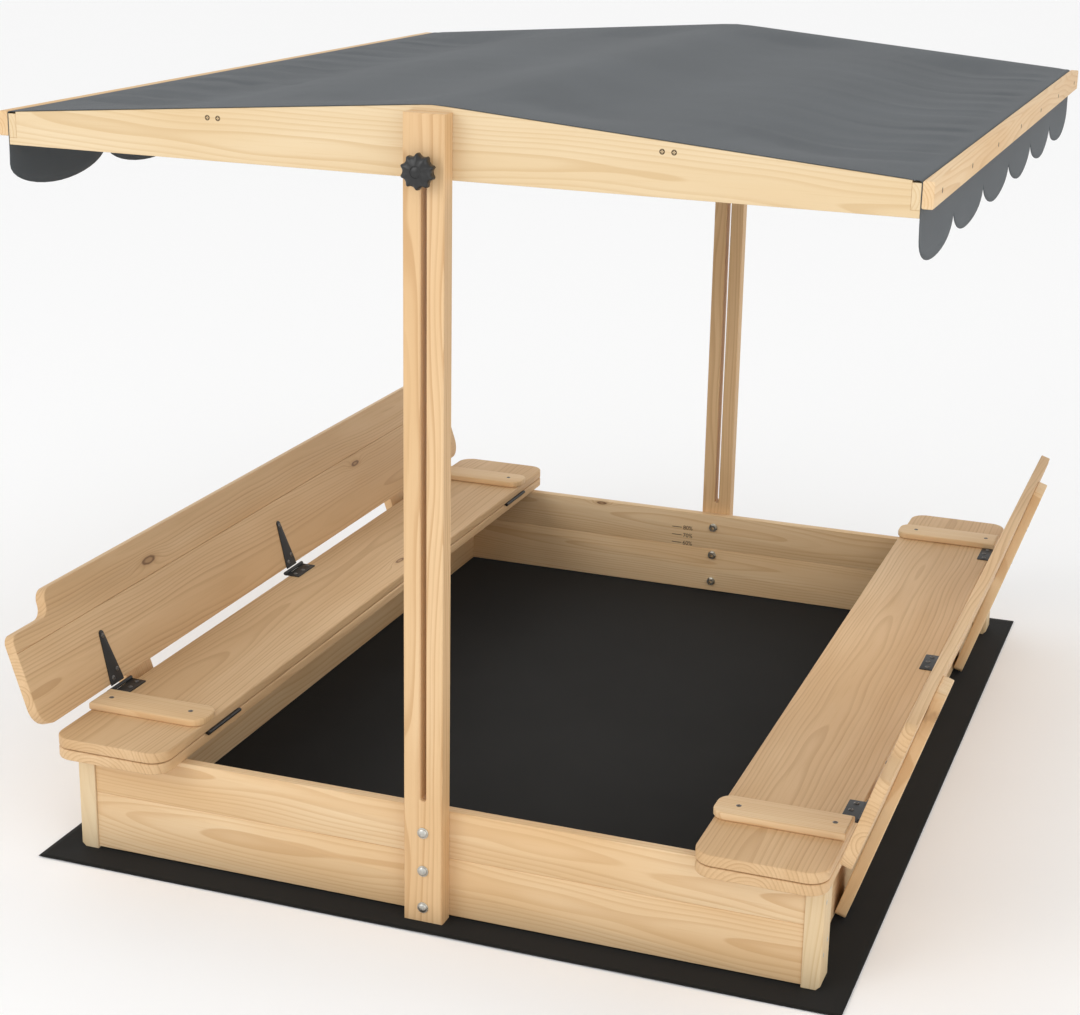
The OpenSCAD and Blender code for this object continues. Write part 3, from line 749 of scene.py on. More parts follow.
@dataclass
class SandBox:
    """The box on its ground sheet, with the two slotted posts."""

    maker: Maker
    half_width: float = 0.590
    side: float = 0.562
    board: float = 0.017
    lift: float = 0.004
    seam: float = 0.097
    top: float = 0.172
    post_half: float = 0.030
    post_depth: float = 0.028
    post_top: float = 1.180

    def build(self) -> None:
        """Build the box from the ground up."""
        self.ground_sheet()
        self.end_panels()
        self.side_panels()
        self.corner_battens()
        self.posts()
        self.fixings()
        self.fill_marks()

    def ground_sheet(self) -> None:
        """The liner: a flat grid whose free margin lifts by a slow sum of sines."""
        w, l = 0.6330, 0.8110
        u = np.concatenate([np.linspace(-w, -0.58, 8), np.linspace(-0.54, 0.54, 28),
                            np.linspace(0.58, w, 8)])
        v = np.concatenate([np.linspace(-l, -0.74, 9), np.linspace(-0.70, 0.70, 36),
                            np.linspace(0.74, l, 9)])
        x, y = np.meshgrid(u, v, indexing="ij")
        out = np.maximum(np.clip((abs(x) - 0.60) / 0.033, 0, 1), np.clip((abs(y) - 0.765) / 0.045, 0, 1))
        wave = np.sin(17 * y + 1.3) * np.sin(5 * y) + np.sin(13 * x + 0.7) * np.cos(7 * x)
        z = 0.0005 + 0.0011 * out * (1 + 0.5 * wave)
        sheet = put_mesh("ground_sheet", np.stack([x, y, z], -1).reshape(-1, 3),
                         [f[::-1] for f in grid_faces(len(u), len(v)).tolist()])
        cloth_map(sheet, np.stack([x, y], -1).reshape(-1, 2))
        soften(sheet)
        thick = sheet.modifiers.new("thickness", "SOLIDIFY")
        thick.thickness, thick.offset = 0.0008, 0.0
        sheet.data.materials.append(self.maker.finishes.get(GROUND_CLOTH))
        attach(sheet, "box")
        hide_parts("ground_liner")
        LOG.info("ground_sheet")

    def end_panels(self) -> None:
        """Front and rear panels, two boards each, with an eased joint between them."""
        for end, turn in (("front", None), ("rear", MIRROR_Y)):
            for part, z0, z1, seed in (("lower", self.lift, self.seam, 1.0),
                                       ("upper", self.seam, self.top, 2.0)):
                shape = shaped_slab(round_rectangle(-self.side, z0, self.side, z1, 0.0012, 4),
                                    -self.board, 0.0, 0.0012)
                shape = moved(shape, FRONT if turn is None else turn @ FRONT)
                sign = -1 if turn is None else 1
                finish = Pine(f"pine_{end}_{part}", FRESH, Grain.ACROSS, seed + 3 * (turn is not None),
                              pith=(-sign * 0.034, 0.012), tilt=(0.006, 0.022), knots=0.14,
                              centre=(0, sign * END, (z0 + z1) / 2), upright_face=True)
                self.maker.piece(f"{end}_{part}_plank", shape, "box", "pine board", finish,
                                 [f"{end}_{part}_board"])

    def side_panels(self) -> None:
        """Left and right panels between the end panels."""
        pose = axes_pose((self.side, 0, 0), (0, 1, 0), (0, 0, 1))
        inner = END - self.board
        for name, turn, seed in (("right", Matrix.Identity(4), 5.0), ("left", MIRROR_X, 8.0)):
            for part, z0, z1 in (("lower", self.lift, self.seam), ("upper", self.seam, self.top)):
                shape = shaped_slab(round_rectangle(-inner, z0, inner, z1, 0.0012, 4),
                                    -self.board, 0.0, 0.0012)
                finish = Pine(f"pine_{name}_{part}", FRESH, Grain.ALONG, seed + z0, pith=(0.045, 0.01),
                              tilt=(0.004, 0.02), knots=0.2, upright_face=True,
                              centre=(0.56 * (1 if name == "right" else -1), 0, (z0 + z1) / 2))
                self.maker.piece(f"{name}_{part}_plank", moved(shape, turn @ pose), "box", "pine board",
                                 finish, [f"{name}_{part}_board"])

    def corner_battens(self) -> None:
        """Four upright battens with the outer bottom corner taken off."""
        s, w, e = self.side, self.half_width, 0.0062
        outline = np.array([(s, 0.001), (w - e, 0.001), (w, 0.001 + e), (w, self.top), (s, self.top)])
        one = moved(shaped_slab(outline, -0.042, 0.003, 0.0014), FRONT)
        two = at_both_ends(one)
        shapes = two + [moved(shape, MIRROR_X) for shape in two]
        finish = Pine("pine_corner", CREAM, Grain.UPRIGHT, 11.0, pith=(0.03, 0.4), tilt=(0.03, 0.03),
                      knots=0.15)
        self.maker.piece("corner_uprights", joined(shapes), "box", "pine board", finish, ["corner_battens"])

    def posts(self) -> None:
        """Two posts, each a ring of profiles around its long clamp slot."""
        w, low, top, r, n = self.post_half, 0.001, self.post_top, 0.0044, 9
        s0, s1, m = 0.199, 1.107, 14
        z = np.linspace(0, 1, m)
        inner = np.vstack([np.column_stack([np.full(m, r), s0 + (s1 - s0) * z]),
                           arc(0, s1, r, 0, 180, n + 2)[1:-1],
                           np.column_stack([np.full(m, -r), s1 - (s1 - s0) * z]),
                           arc(0, s0, r, 180, 360, n + 2)[1:-1]])
        x = np.linspace(w, -w, n + 2)[1:-1]
        outer = np.vstack([np.column_stack([np.full(m, w), low + (top - low) * z]),
                           np.column_stack([x, np.full(n, top)]),
                           np.column_stack([np.full(m, -w), top - (top - low) * z]),
                           np.column_stack([-x, np.full(n, low)])])
        shape = moved(slotted_slab(outer, inner, 0.0, self.post_depth, 0.0013), FRONT)
        for end, made, sign in (("front", shape, -1), ("rear", moved(shape, MIRROR_Y), 1)):
            finish = Pine(f"pine_post_{end}", POST, Grain.UPRIGHT, 13.0 + sign,
                          pith=(-sign * 0.055, 0.03), tilt=(0.004, 0.012),
                          knots=0.5, centre=(0, sign * 0.767, 0.6), upright_face=True)
            self.maker.piece(f"{end}_slotted_post", made, "box", "pine post", finish, [f"{end}_post"])

    def fixings(self) -> None:
        """Bolt heads through the posts, whose nuts stay as frame nodes, and the screws of the corners."""
        head = bolt_head(0.0085, 0.0068)
        shapes = []
        for z in (0.025, 0.084, 0.145):
            out = moved(head, FRONT @ Matrix.Translation((0, z, self.post_depth)))
            shapes += at_both_ends(out)
        self.maker.piece("post_bolt_heads", joined(shapes), "box", "zinc steel", ZINC, ["post_bolts"])
        pose = axes_pose((self.half_width, -END, 0), (0, 1, 0), (0, 0, 1))
        heads = []
        for z in (0.052, 0.134):
            for y, dz in ((0.0085, 0.0), (0.0295, 0.014)):
                spot = pose @ Matrix.Translation((y, z + dz, -0.0003))
                heads += at_both_ends(moved(sunk_head(0.004), spot))
        heads += [moved(h, MIRROR_X) for h in heads]
        self.maker.piece("corner_screw_heads", joined(heads), "box", "zinc steel", ZINC, ["box_screws"])

    def fill_marks(self) -> None:
        """Three level lines with their numbers on the inner face of the rear panel."""
        y = END - self.board - 0.0002
        shapes = []
        for value, z in ((80, 0.136), (70, 0.119), (60, 0.102)):
            line = np.array([(-0.090, z), (-0.069, z), (-0.069, z + 0.0013), (-0.090, z + 0.0013)])
            shapes.append(moved(shaped_slab(line, 0.0, 0.0002, 0.00005, 1),
                                axes_pose((0, y, 0), (1, 0, 0), (0, 0, 1))))
            letters = bpy.data.curves.new(f"level_{value}", "FONT")
            letters.body, letters.size, letters.extrude = f"{value}%", 0.0125, 0.0001
            text = bpy.data.objects.new(letters.name, letters)
            bpy.context.scene.collection.objects.link(text)
            graph = bpy.context.evaluated_depsgraph_get()
            mesh = bpy.data.meshes.new_from_object(text.evaluated_get(graph))
            flat = np.zeros(len(mesh.vertices) * 3)
            mesh.vertices.foreach_get("co", flat)
            polys = [list(p.vertices) for p in mesh.polygons]
            shapes.append(moved((flat.reshape(-1, 3), polys),
                                axes_pose((-0.066, y - 0.0001, z - 0.0035), (1, 0, 0), (0, 0, 1))))
            bpy.data.objects.remove(text)
            bpy.data.meshes.remove(mesh)
        self.maker.piece("fill_level_marks", joined(shapes), "box", "black knob", MARK_BROWN)


def cloth_map(piece: bpy.types.Object, flat: np.ndarray) -> None:
    """Store each point's place on the flat cloth, in metres, as the UV map named cloth."""
    mesh = piece.data
    layer = mesh.uv_layers.new(name="cloth")
    corner = np.zeros(len(mesh.loops), dtype=np.int32)
    mesh.loops.foreach_get("vertex_index", corner)
    layer.data.foreach_set("uv", flat[corner].astype(np.float32).ravel())


# ---------------------------------------------------------------- canopy


@dataclass
class Canopy:
    """Gable boards, rails and the one cloth stretched over them."""

    maker: Maker
    low: float = 1.090
    eave: float = 1.137
    ridge: float = 1.188
    rail_in: float = 0.6405
    rail_out: float = 0.6525
    outer: float = 0.669
    half_length: float = 0.7525
    wood_free: float = 0.7335
    cusp: float = 1.062
    lobe_deep: float = 0.040
    scallops: int = 6

    @property
    def slope(self) -> float:
        """Fall of the gable's top edge per unit of width."""
        return (self.ridge - self.eave) / self.rail_in

    def build(self) -> None:
        """Build the wood, the cloth and the screws."""
        self.gables()
        self.rails()
        self.cloth()
        self.screws()

    def gables(self) -> None:
        """The two peaked boards, notched at their ends for the rails."""
        a, b, n = self.rail_out, self.rail_in, self.eave - 0.037
        outline = np.array([(-a, self.low), (a, self.low), (a, n), (b, n), (b, self.eave), (0, self.ridge),
                            (-b, self.eave), (-b, n), (-a, n)])
        pose = axes_pose((0, -self.half_length, 0), (1, 0, 0), (0, 0, 1))
        shape = moved(shaped_slab(outline, -0.017, 0.0, 0.0010), pose)
        for end, made, sign in (("front", shape, -1), ("rear", moved(shape, MIRROR_Y), 1)):
            finish = Pine(f"pine_gable_{end}", CREAM, Grain.ACROSS, 21.0 + sign, pith=(-sign * 0.030, -0.012),
                          tilt=(0.004, 0.030), knots=0.0, centre=(0, sign * 0.75, 1.13), upright_face=True)
            self.maker.piece(f"{end}_gable", made, "canopy", "pine board", finish, [f"{end}_gable_board"])

    def rails(self) -> None:
        """End rails, the battens that clamp the cloth to them, purlins and ridge bar."""
        pose = axes_pose((0, self.half_length, 0), (1, 0, 0), (0, 0, 1))
        low, l = self.eave - 0.037, 2 * self.half_length
        high = self.eave - 0.003
        rail = shaped_slab(np.array([(self.rail_in, low), (self.rail_out, low), (self.rail_out, high),
                                     (self.rail_in, high)]), 0.0, l, 0.0010)
        batten = shaped_slab(round_rectangle(self.outer - 0.0155, low + 0.002, self.outer, self.eave,
                                             0.0025, 4), 0.0, l, 0.0014)
        for side, turn, seed in (("right", Matrix.Identity(4), 31.0), ("left", MIRROR_X, 34.0)):
            sign = 1 if side == "right" else -1
            for part, shape, k in (("end_rail", rail, 0.0), ("eave_batten", batten, 1.0)):
                finish = Pine(f"pine_{side}_{part}", FRESH if k else CREAM, Grain.ALONG, seed + k,
                              pith=(0.022, -0.02), tilt=(0.010, 0.012), knots=0.5,
                              centre=(sign * 0.655, 0, 1.118), upright_face=True)
                self.maker.piece(f"{side}_{part}_wood", moved(shape, turn @ pose), "canopy", "pine board",
                                 finish, [f"{side}_{part}"])
            # Purlins and ridge bar take the painted-shade tone, for the shade under the cloth.
            inner = Pine(f"pine_{side}_purlin", PAINTED_SHADE, Grain.ALONG, seed + 2, centre=(sign * 0.326, 0, 1.15))
            dress_node(f"{side}_purlin", self.maker.finishes.get(inner))
        dress_node("ridge_bar", self.maker.finishes.get(Pine("pine_ridge", PAINTED_SHADE, Grain.ALONG, 38.0,
                                                             centre=(0, 0, 1.16))))

    def roof_height(self, x: np.ndarray, y: np.ndarray) -> np.ndarray:
        """Height of the cloth: the gable line less the sag of each bay, plus creases.

        Each bay between ridge, purlin and rail sags as sin^2 across it, fading to nothing
        at the gables. Short creases run off the gables, long ones off the eaves.
        """
        a = abs(x)
        span = np.clip((self.wood_free - abs(y)) / 0.16, 0, 1)
        inside = span * span * (3 - 2 * span)
        first = np.where(a < 0.316, np.sin(math.pi * np.clip(a / 0.316, 0, 1)) ** 2, 0.0)
        second = np.where(a > 0.336, np.sin(math.pi * np.clip((a - 0.336) / 0.3045, 0, 1)) ** 2, 0.0)
        z = self.ridge - self.slope * a + 0.0009 - inside * (0.0016 + 0.0100 * first + 0.0120 * second)
        z -= 0.0011 * np.exp(-(a / 0.018) ** 2)
        gap = self.half_length - abs(y)
        edge = np.exp(-gap / 0.10) * np.clip(gap / 0.03, 0, 1)
        fan = np.sin(2 * math.pi * (a / 0.058 + 2.6 * abs(y))) * np.sin(9.0 * x + 1.0)
        z += edge * inside * 0.0018 * (fan + 0.6 * np.sin(2 * math.pi * (a / 0.033 - 3.1 * abs(y)) + 0.8))
        eaves = np.exp(-(self.rail_in - a) / 0.13) * np.clip((self.rail_in - a) / 0.03, 0, 1)
        z += eaves * inside * 0.0020 * (np.sin(2 * math.pi * (y / 0.105 + 0.6 * a))
                                        + 0.5 * np.sin(2 * math.pi * y / 0.047 + 2))
        left = np.clip(-x / 0.15, 0, 1) * np.exp(-((y + 0.30) / 0.34) ** 2)
        z += left * inside * second * 0.0026 * np.sin(2 * math.pi * (x / 0.085 + y / 0.11)) * np.cos(11 * y)
        return z

    def hem(self, y: np.ndarray) -> np.ndarray:
        """Height of the scalloped hem: half an ellipse below each pitch."""
        pitch = 2 * self.half_length / self.scallops
        part = ((y + self.half_length) / pitch) % 1.0
        return self.cusp - self.lobe_deep * np.sqrt(np.clip(1 - (2 * part - 1) ** 2, 0, 1))

    def cloth(self) -> None:
        """One continuous cloth: hem, valance, over the rail, roof, and down the other side."""
        t = np.linspace(0, 1, 19)[:-1]
        lobe = (1 - np.cos(math.pi * t)) / 2
        pitch = 2 * self.half_length / self.scallops
        v = np.concatenate([-self.half_length + pitch * (k + lobe) for k in range(self.scallops)]
                           + [[self.half_length]])
        inner = np.concatenate([np.linspace(0, 0.300, 26), np.linspace(0.306, 0.346, 6),
                                np.linspace(0.352, 0.632, 34)])
        wrap_x = np.array([0.6400, 0.6440, 0.6480, 0.6508, 0.6524, 0.6530])
        wrap_dz = np.array([0.0, -0.0002, -0.0002, -0.0006, -0.0018, -0.0045])
        share = np.linspace(0, 1, 10)[1:]
        bottom = self.hem(np.where(v >= self.half_length, v - 1e-9, v))
        bottom[0] = bottom[-1] = self.cusp
        rows = []
        for x in inner:
            rows.append(np.column_stack([np.full_like(v, x), v, self.roof_height(np.full_like(v, x), v)]))
        lip = self.eave + 0.0004
        for x, dz in zip(wrap_x, wrap_dz):
            rows.append(np.column_stack([np.full_like(v, x), v, np.full_like(v, lip + dz)]))
        start = lip + wrap_dz[-1]
        for s in share:
            z = start + (bottom - start) * s
            free = np.clip((1.088 - z) / 0.07, 0, 1)
            wave = np.sin(2 * math.pi * v / 0.47 + 0.6) * np.sin(8 * v + 1)
            x = 0.6530 + free ** 1.3 * 0.0022 * (1 + wave)
            rows.append(np.column_stack([x, v, z]))
        right = np.stack(rows)
        flip = right.copy()
        flip[..., 0] *= -1
        lefts = [np.column_stack([np.full_like(v, -x), v, self.roof_height(np.full_like(v, -x), v)])
                 for x in inner]
        flip[:len(inner)] = np.stack(lefts)
        whole = np.concatenate([flip[:0:-1], right])
        points = whole.reshape(-1, 3)
        step = np.linalg.norm(np.diff(whole, axis=0), axis=2)
        along = np.vstack([np.zeros(len(v)), np.cumsum(step, axis=0)])
        along -= along[len(whole) // 2]
        made = put_mesh("canopy_cloth", points, grid_faces(len(whole), len(v)).tolist())
        cloth_map(made, np.stack([along, np.broadcast_to(v, along.shape)], -1).reshape(-1, 2))
        soften(made, 60.0)
        thick = made.modifiers.new("thickness", "SOLIDIFY")
        thick.thickness, thick.offset = 0.0007, 0.0
        made.data.materials.append(self.maker.finishes.get(CANOPY_CLOTH))
        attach(made, "canopy")
        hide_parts("roof_fabric", "left_valance", "right_valance")
        LOG.info("canopy_cloth: %d points", len(points))

    def screws(self) -> None:
        """Screw heads in the gables and along the eave battens."""
        pose = axes_pose((0, -self.half_length, 0), (1, 0, 0), (0, 0, 1))
        purlin = self.ridge - 0.003 - self.slope * 0.347 - 0.0085
        shapes = []
        for x in (-0.334, -0.318, 0.318, 0.334):
            shapes += at_both_ends(moved(sunk_head(0.0040), pose @ Matrix.Translation((x, purlin, -0.0003))))
        side = axes_pose((self.outer, 0, 0), (0, 1, 0), (0, 0, 1))
        for k in range(-3, 4):
            spot = side @ Matrix.Translation((0.232 * k, self.eave - 0.0185, -0.0003))
            out = moved(sunk_head(0.0040), spot)
            shapes += [out, moved(out, MIRROR_X)]
        self.maker.piece("canopy_screw_heads", joined(shapes), "canopy", "zinc steel", SCREW_BRONZE,
                         ["canopy_screws"])


@dataclass
class Clamp:
    """The star knobs on the clamp bolts, front and rear."""

    maker: Maker
    height: float = 1.106
    hub: float = 0.7838

    def build(self) -> None:
        """Build both knobs and dress the bolts and washers."""
        pose = axes_pose((0, -self.hub, self.height), (1, 0, 0), (0, 0, 1))
        knob = moved(star_knob(), pose)
        self.maker.piece("front_star_knob", knob, "front_clamp_knob", "black knob", KNOB_BLACK,
                         ["front_knob"], 50.0)
        self.maker.piece("rear_star_knob", moved(knob, MIRROR_Y), "rear_clamp_knob", "black knob", KNOB_BLACK,
                         ["rear_knob"], 50.0)
        for node in ("front_clamp_bolt", "rear_clamp_bolt", "clamp_washers"):
            dress_node(node, self.maker.finishes.get(ZINC))


# ---------------------------------------------------------------- benches


@dataclass
class Bench:
    """One folding bench: fixed board, seat, backrest with legs, and its hinges."""

    maker: Maker
    side: str
    inner: float = 0.410
    outer: float = 0.600
    half_length: float = 0.810
    fixed_low: float = 0.172
    seat_low: float = 0.1904
    thick: float = 0.017
    tee: tuple[float, float] = (0.607, 0.2106)
    back_in: float = 0.0032
    back_out: float = 0.0207
    foot: float = 0.205
    panel: float = 0.562
    tee_spots: tuple[float, ...] = (-0.604, 0.0, 0.604)
    leg_spots: tuple[float, ...] = (-0.515, 0.515)
    leg_thick: float = 0.0175
    cleat_spots: tuple[float, ...] = (-0.671, 0.671)
    cleat_thick: float = 0.012
    notch_in: float = 0.5665
    notch_half: float = 0.042

    @property
    def sign(self) -> int:
        """1 on the right and -1 on the left."""
        return 1 if self.side == "right" else -1

    @property
    def lean(self) -> float:
        """Lean of the backrest with its feet against the side panel."""
        reach = math.hypot(self.back_out, self.foot)
        return math.asin((self.tee[0] - self.panel - 0.0004) / reach) + math.atan(self.back_out / self.foot)

    @property
    def seat_top(self) -> float:
        """Height of the seat's upper face."""
        return self.seat_low + self.thick

    def place(self, shape: Shape,
              pose: Matrix | None = None) -> Shape:
        """Carry a right-hand shape to this bench's side."""
        if pose is not None:
            shape = moved(shape, pose)
        return shape if self.sign > 0 else moved(shape, MIRROR_X)

    def back_pose(self) -> Matrix:
        """Outlines in (along, up the backrest), thickness outwards from the hinge axis."""
        return axes_pose((self.tee[0], 0, self.tee[1]), (0, 1, 0),
                         (math.sin(self.lean), 0, math.cos(self.lean)))

    def build(self) -> None:
        """Build the bench from the box outwards."""
        self.boards()
        self.cleats()
        self.backrest()
        self.legs()
        self.tee_hinges()
        dress_node(f"{self.side}_butt_hinge_leaves", self.maker.finishes.get(HINGE_BLACK))

    def pine(self, part: str, seed: float, tone: Tone, **more: object) -> Pine:
        """The finish of one board of this bench."""
        return Pine(f"pine_{self.side}_{part}", tone, more.pop("grain", Grain.ALONG),
                    seed + (0 if self.sign > 0 else 17.0), **more)

    def boards(self) -> None:
        """The fixed board and the seat, with round corners."""
        outline = round_rectangle(self.inner, -self.half_length, self.outer, self.half_length, 0.030, 12)
        half = self.notch_half
        notches = [[(self.outer, y - half), (self.notch_in, y - half), (self.notch_in, y + half),
                    (self.outer, y + half)] for y in self.leg_spots]
        notched = np.vstack([outline[:12], *notches, outline[12:]])
        mid = self.sign * 0.505
        for name, plan, low, body, seed, node in (
                ("fixed_plank", notched, self.fixed_low, "box", 41.0, "fixed_bench_board"),
                ("seat_plank", outline, self.seat_low, f"{self.side}_seat", 43.0, "seat_board")):
            # Fixed board and seat take the painted-shade tone, for the shade under the canopy.
            finish = self.pine(name, seed, PAINTED_SHADE, pith=(0.015, -0.040), tilt=(0.006, 0.016), knots=0.30,
                               centre=(mid, 0, low))
            plank = self.place(shaped_slab(plan, low, low + self.thick, 0.0024, 4))
            self.maker.piece(f"{self.side}_{name}", plank, body, "pine board", finish,
                             [f"{self.side}_{node}"])

    def cleats(self) -> None:
        """Two cleats across the seat with a round inner end."""
        x0, x1, half, r = self.inner - 0.004, self.outer + 0.002, 0.031, 0.022
        shapes = []
        for y in self.cleat_spots:
            outline = np.vstack([arc(x1 - 0.002, y - half + 0.002, 0.002, -90, 0, 4),
                                 arc(x1 - 0.002, y + half - 0.002, 0.002, 0, 90, 4),
                                 arc(x0 + r, y + half - r, r, 90, 180),
                                 arc(x0 + r, y - half + r, r, 180, 270)])
            shapes.append(self.place(shaped_slab(outline, self.seat_top,
                                                 self.seat_top + self.cleat_thick, 0.0028, 4)))
        finish = self.pine("cleat", 47.0, FRESH, grain=Grain.ACROSS, pith=(0.012, -0.03),
                           tilt=(0.02, 0.05), knots=0.25, centre=(self.sign * 0.505, 0, self.seat_top))
        self.maker.piece(f"{self.side}_cleat_pair", joined(shapes), f"{self.side}_seat",
                         "pine board", finish, [f"{self.side}_seat_cleats"])

    def backrest(self) -> None:
        """Two boards; the upper one steps up between its ends with an S-curve."""
        h, seam, ledge, top = self.half_length, 0.130, 0.158, 0.198
        lower = np.vstack([arc(h - 0.034, 0.041, 0.034, -90, 0, 12), [(h, seam)], [(-h, seam)],
                           arc(-h + 0.034, 0.041, 0.034, 180, 270, 12)])
        r, n = 0.020, 0.709
        step = np.vstack([arc(h - 0.014, ledge - 0.014, 0.014, 0, 90, 8),
                          arc(n + r, ledge + r, r, 270, 180, 10), arc(n - r, top - r, r, 0, 90, 10)])
        upper = np.vstack([[(-h, seam), (h, seam)], step, (step * (-1, 1))[::-1]])
        for name, outline, seed, node in (("back_lower_plank", lower, 51.0, "back_lower_board"),
                                          ("back_upper_plank", upper, 53.0, "back_upper_board")):
            shape = shaped_slab(outline, self.back_in, self.back_out, 0.0016)
            mid = float(outline[:, 1].mean())
            x = self.tee[0] + mid * math.sin(self.lean)
            # The backrest boards take the painted-shade tone, for the shade under the canopy.
            finish = self.pine(name, seed, PAINTED_SHADE, pith=(-0.035 * self.sign, 0.005),
                               tilt=(0.006, 0.018), knots=0.28,
                               centre=(self.sign * x, 0, self.tee[1] + mid), upright_face=True)
            self.maker.piece(f"{self.side}_{name}", self.place(shape, self.back_pose()),
                             f"{self.side}_back", "pine board", finish, [f"{self.side}_{node}"])

    def legs(self) -> None:
        """Two long legs on the outer face that stop the backrest against the side panel."""
        shapes = []
        for y in self.leg_spots:
            outline = round_rectangle(y - 0.039, -self.foot, y + 0.039, 0.193, 0.012, 7)
            leg = shaped_slab(outline, self.back_out, self.back_out + self.leg_thick, 0.0018)
            shapes.append(self.place(leg, self.back_pose()))
        finish = self.pine("leg", 57.0, FRESH, grain=Grain.UPRIGHT, pith=(0.02, 0.045),
                           tilt=(0.01, 0.03), knots=0.35, lean=-self.sign * self.lean,
                           centre=(self.sign * 0.62, 0, 0.2))
        self.maker.piece(f"{self.side}_leg_pair", joined(shapes), f"{self.side}_back",
                         "pine board", finish, [f"{self.side}_back_legs"])
        heads = []
        for y in self.leg_spots:
            for dy, z in ((-0.016, 0.026), (0.016, 0.026), (-0.016, 0.108), (0.016, 0.108),
                          (0.0, 0.160)):
                spot = Matrix.Translation((y + dy, z, self.back_out + self.leg_thick - 0.0003))
                heads.append(self.place(sunk_head(0.004), self.back_pose() @ spot))
        for y in self.tee_spots:
            for dy, z in ((0.0, 0.085), (0.008, 0.025), (-0.008, 0.015)):
                spot = (Matrix.Translation((y + dy, z, self.back_in - 0.002))
                        @ Matrix.Rotation(math.pi, 4, "X"))
                heads.append(self.place(pan_head(0.004, 0.0018), self.back_pose() @ spot))
        self.maker.piece(f"{self.side}_back_screw_heads", joined(heads), f"{self.side}_back", "black screw",
                         SCREW_BLACK, [f"{self.side}_back_screws"])

    def tee_hinges(self) -> None:
        """Tee hinges: a leaf with two barrels on the seat, a tapered strap on the backrest."""
        axis = Matrix.Translation((self.tee[0], 0, self.tee[1]))
        r = 0.0032
        leaves, straps, pins, heads = [], [], [], []
        for y in self.tee_spots:
            leaf = shaped_slab(round_rectangle(-0.028, y - 0.034, -0.0036, y + 0.034, 0.002, 4),
                               -r, -r + 0.002, 0.0005, 2)
            leaves.append(self.place(leaf, axis))
            for s in (-1, 1):
                a, b = sorted((s * 0.0154, s * 0.034))
                curl = shaped_slab(np.array([(-0.0044, y + a), (-0.0004, y + a), (-0.0004, y + b),
                                             (-0.0044, y + b)]), -r, -r + 0.002, 0.0002, 1)
                leaves += [self.place(knuckle(r, y + a, y + b), axis), self.place(curl, axis)]
            pins += [self.place(knuckle(0.0026, y + a, y + b), axis)
                     for a, b in ((-0.035, -0.034), (0.034, 0.035))]
            for dx, dy in ((-0.016, -0.024), (-0.019, 0.0), (-0.016, 0.024)):
                spot = axis @ Matrix.Translation((dx, y + dy, -r + 0.002))
                heads.append(self.place(pan_head(0.004, 0.0018), spot))
            tip = arc(y, 0.088, 0.006, 0, 180, 13)
            outline = np.vstack([[(y - 0.018, 0.0045), (y + 0.018, 0.0045)], [(y + 0.0178, 0.012)], tip,
                                 [(y - 0.0178, 0.012)]])
            straps.append(self.place(shaped_slab(outline, self.back_in - 0.002, self.back_in, 0.0006, 2),
                                     self.back_pose()))
            straps.append(self.place(knuckle(r, y - 0.015, y + 0.015), axis))
        cleat = self.seat_top + self.cleat_thick
        for x in (0.440, 0.580):
            for y in self.cleat_spots:
                spot = Matrix.Translation((x, y, cleat - 0.0004))
                heads.append(self.place(pan_head(0.004, 0.0016), spot))
        seat, back = f"{self.side}_seat", f"{self.side}_back"
        self.maker.piece(f"{self.side}_tee_leaves", joined(leaves), seat, "black hinge", HINGE_BLACK,
                         [f"{self.side}_tee_hinge_butts"])
        self.maker.piece(f"{self.side}_tee_pins", joined(pins), seat, "black hinge", HINGE_BLACK,
                         [f"{self.side}_tee_hinge_pins"])
        self.maker.piece(f"{self.side}_tee_straps", joined(straps), back, "black hinge", HINGE_BLACK,
                         [f"{self.side}_tee_hinge_straps"])
        self.maker.piece(f"{self.side}_seat_screw_heads", joined(heads), seat, "black screw", SCREW_BLACK,
                         [f"{self.side}_seat_screws"])


# ---------------------------------------------------------------- studio


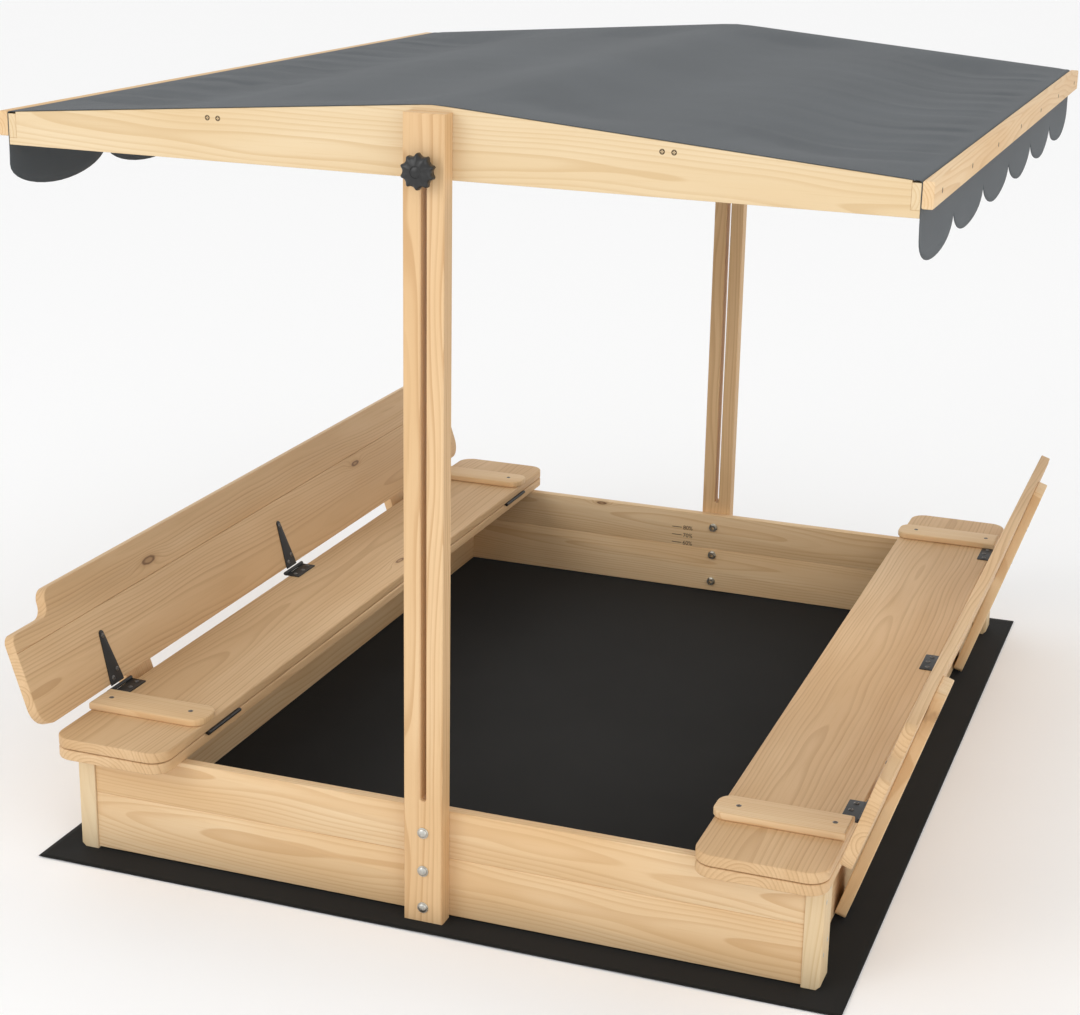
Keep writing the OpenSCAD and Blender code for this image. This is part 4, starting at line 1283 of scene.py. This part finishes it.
@dataclass
class Studio:
    """Pale floor, soft light and the camera."""

    eye: tuple[float, float, float] = (1.095, -3.271, 1.522)
    yaw: float = 0.320
    pitch: float = -0.294
    roll: float = 0.028
    lens: float = 68.9
    shift: tuple[float, float] = (-0.065, -0.0349)

    def build(self) -> None:
        """Build the stage around the object."""
        self.floor()
        self.lights()
        self.camera()

    def floor(self) -> None:
        """A wide pale floor just under the ground sheet."""
        s = Sheet("studio_floor")
        s.shader.inputs["Base Color"].default_value = (0.96, 0.96, 0.96, 1.0)
        s.shader.inputs["Roughness"].default_value = 0.9
        made = put_mesh("studio_floor", np.array([(-30, -30, -0.0005), (30, -30, -0.0005), (30, 30, -0.0005),
                                                  (-30, 30, -0.0005)], float), [[0, 1, 2, 3]])
        made.data.materials.append(s.material)
        made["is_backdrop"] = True

    def light(self, name: str, place: Sequence[float], aim: Sequence[float], size: float, power: float,
              long: float | None = None) -> None:
        """One soft lamp aimed at a point, square unless it has a length of its own."""
        lamp = bpy.data.lights.new(name, "AREA")
        lamp.shape, lamp.size, lamp.size_y, lamp.energy = "RECTANGLE", size, long or size, power
        made = bpy.data.objects.new(name, lamp)
        bpy.context.scene.collection.objects.link(made)
        made.location = place
        made.rotation_euler = (Vector(aim) - Vector(place)).to_track_quat("-Z", "Y").to_euler()

    def lights(self) -> None:
        """A bright even sky, two big soft lamps from the front and a small one under the canopy.

        The small lamp lifts the shade on the benches. It shines down from under the roof;
        only the lower valance of a tilted canopy comes low enough to catch some of it.
        """
        world = bpy.data.worlds.new("studio_sky")
        bpy.context.scene.world = world
        world.use_nodes = True
        sky = world.node_tree.nodes["Background"]
        sky.inputs[0].default_value = (1.0, 1.0, 1.0, 1.0)
        sky.inputs[1].default_value = 0.97
        self.light("key", (-2.6, -4.4, 2.6), (0, -0.1, 0.5), 2.6, 50.0)
        self.light("fill", (3.2, -3.6, 1.6), (0, 0.1, 0.3), 2.6, 26.0)
        self.light("shade", (0.14, 0.0, 0.70), (0.30, 0.0, 0.0), 0.36, 2.0, long=1.1)
        bpy.context.scene.view_settings.view_transform = "Standard"

    def camera(self) -> None:
        """The camera, from its eye point, yaw, pitch and roll."""
        cy, sy, cp, sp = math.cos(self.yaw), math.sin(self.yaw), math.cos(self.pitch), math.sin(self.pitch)
        ahead = Vector((-sy * cp, cy * cp, sp))
        right = Vector((cy, sy, 0.0))
        up = right.cross(ahead)
        cr, sr = math.cos(self.roll), math.sin(self.roll)
        right, up = cr * right + sr * up, cr * up - sr * right
        data = bpy.data.cameras.new("camera")
        data.sensor_fit, data.sensor_width, data.lens = "HORIZONTAL", 36.0, self.lens
        data.shift_x, data.shift_y = self.shift
        data.clip_end = 100.0
        made = bpy.data.objects.new("camera", data)
        bpy.context.scene.collection.objects.link(made)
        pose = Matrix((right, up, -ahead)).transposed().to_4x4()
        pose.translation = Vector(self.eye)
        made.matrix_world = pose
        bpy.context.scene.camera = made


def main() -> None:
    """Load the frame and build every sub-assembly."""
    logging.basicConfig(level=logging.INFO, format="%(name)s %(message)s")
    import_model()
    frame_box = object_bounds()
    Studio().build()
    maker = Maker(Finishes())
    SandBox(maker).build()
    Canopy(maker).build()
    Clamp(maker).build()
    for side in ("left", "right"):
        Bench(maker, side).build()
    for node in ("butt_hinge_fixed_leaves", "butt_hinge_pins"):
        dress_node(node, maker.finishes.get(HINGE_BLACK))
    dress_node("post_nuts", maker.finishes.get(ZINC))
    sizes = [[[float(c) for c in corner] for corner in box] for box in (frame_box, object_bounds())]
    LOG.info("%d pieces, frame %s, visual %s", maker.count, sizes[0], sizes[1])


if __name__ == "__main__":
    main()
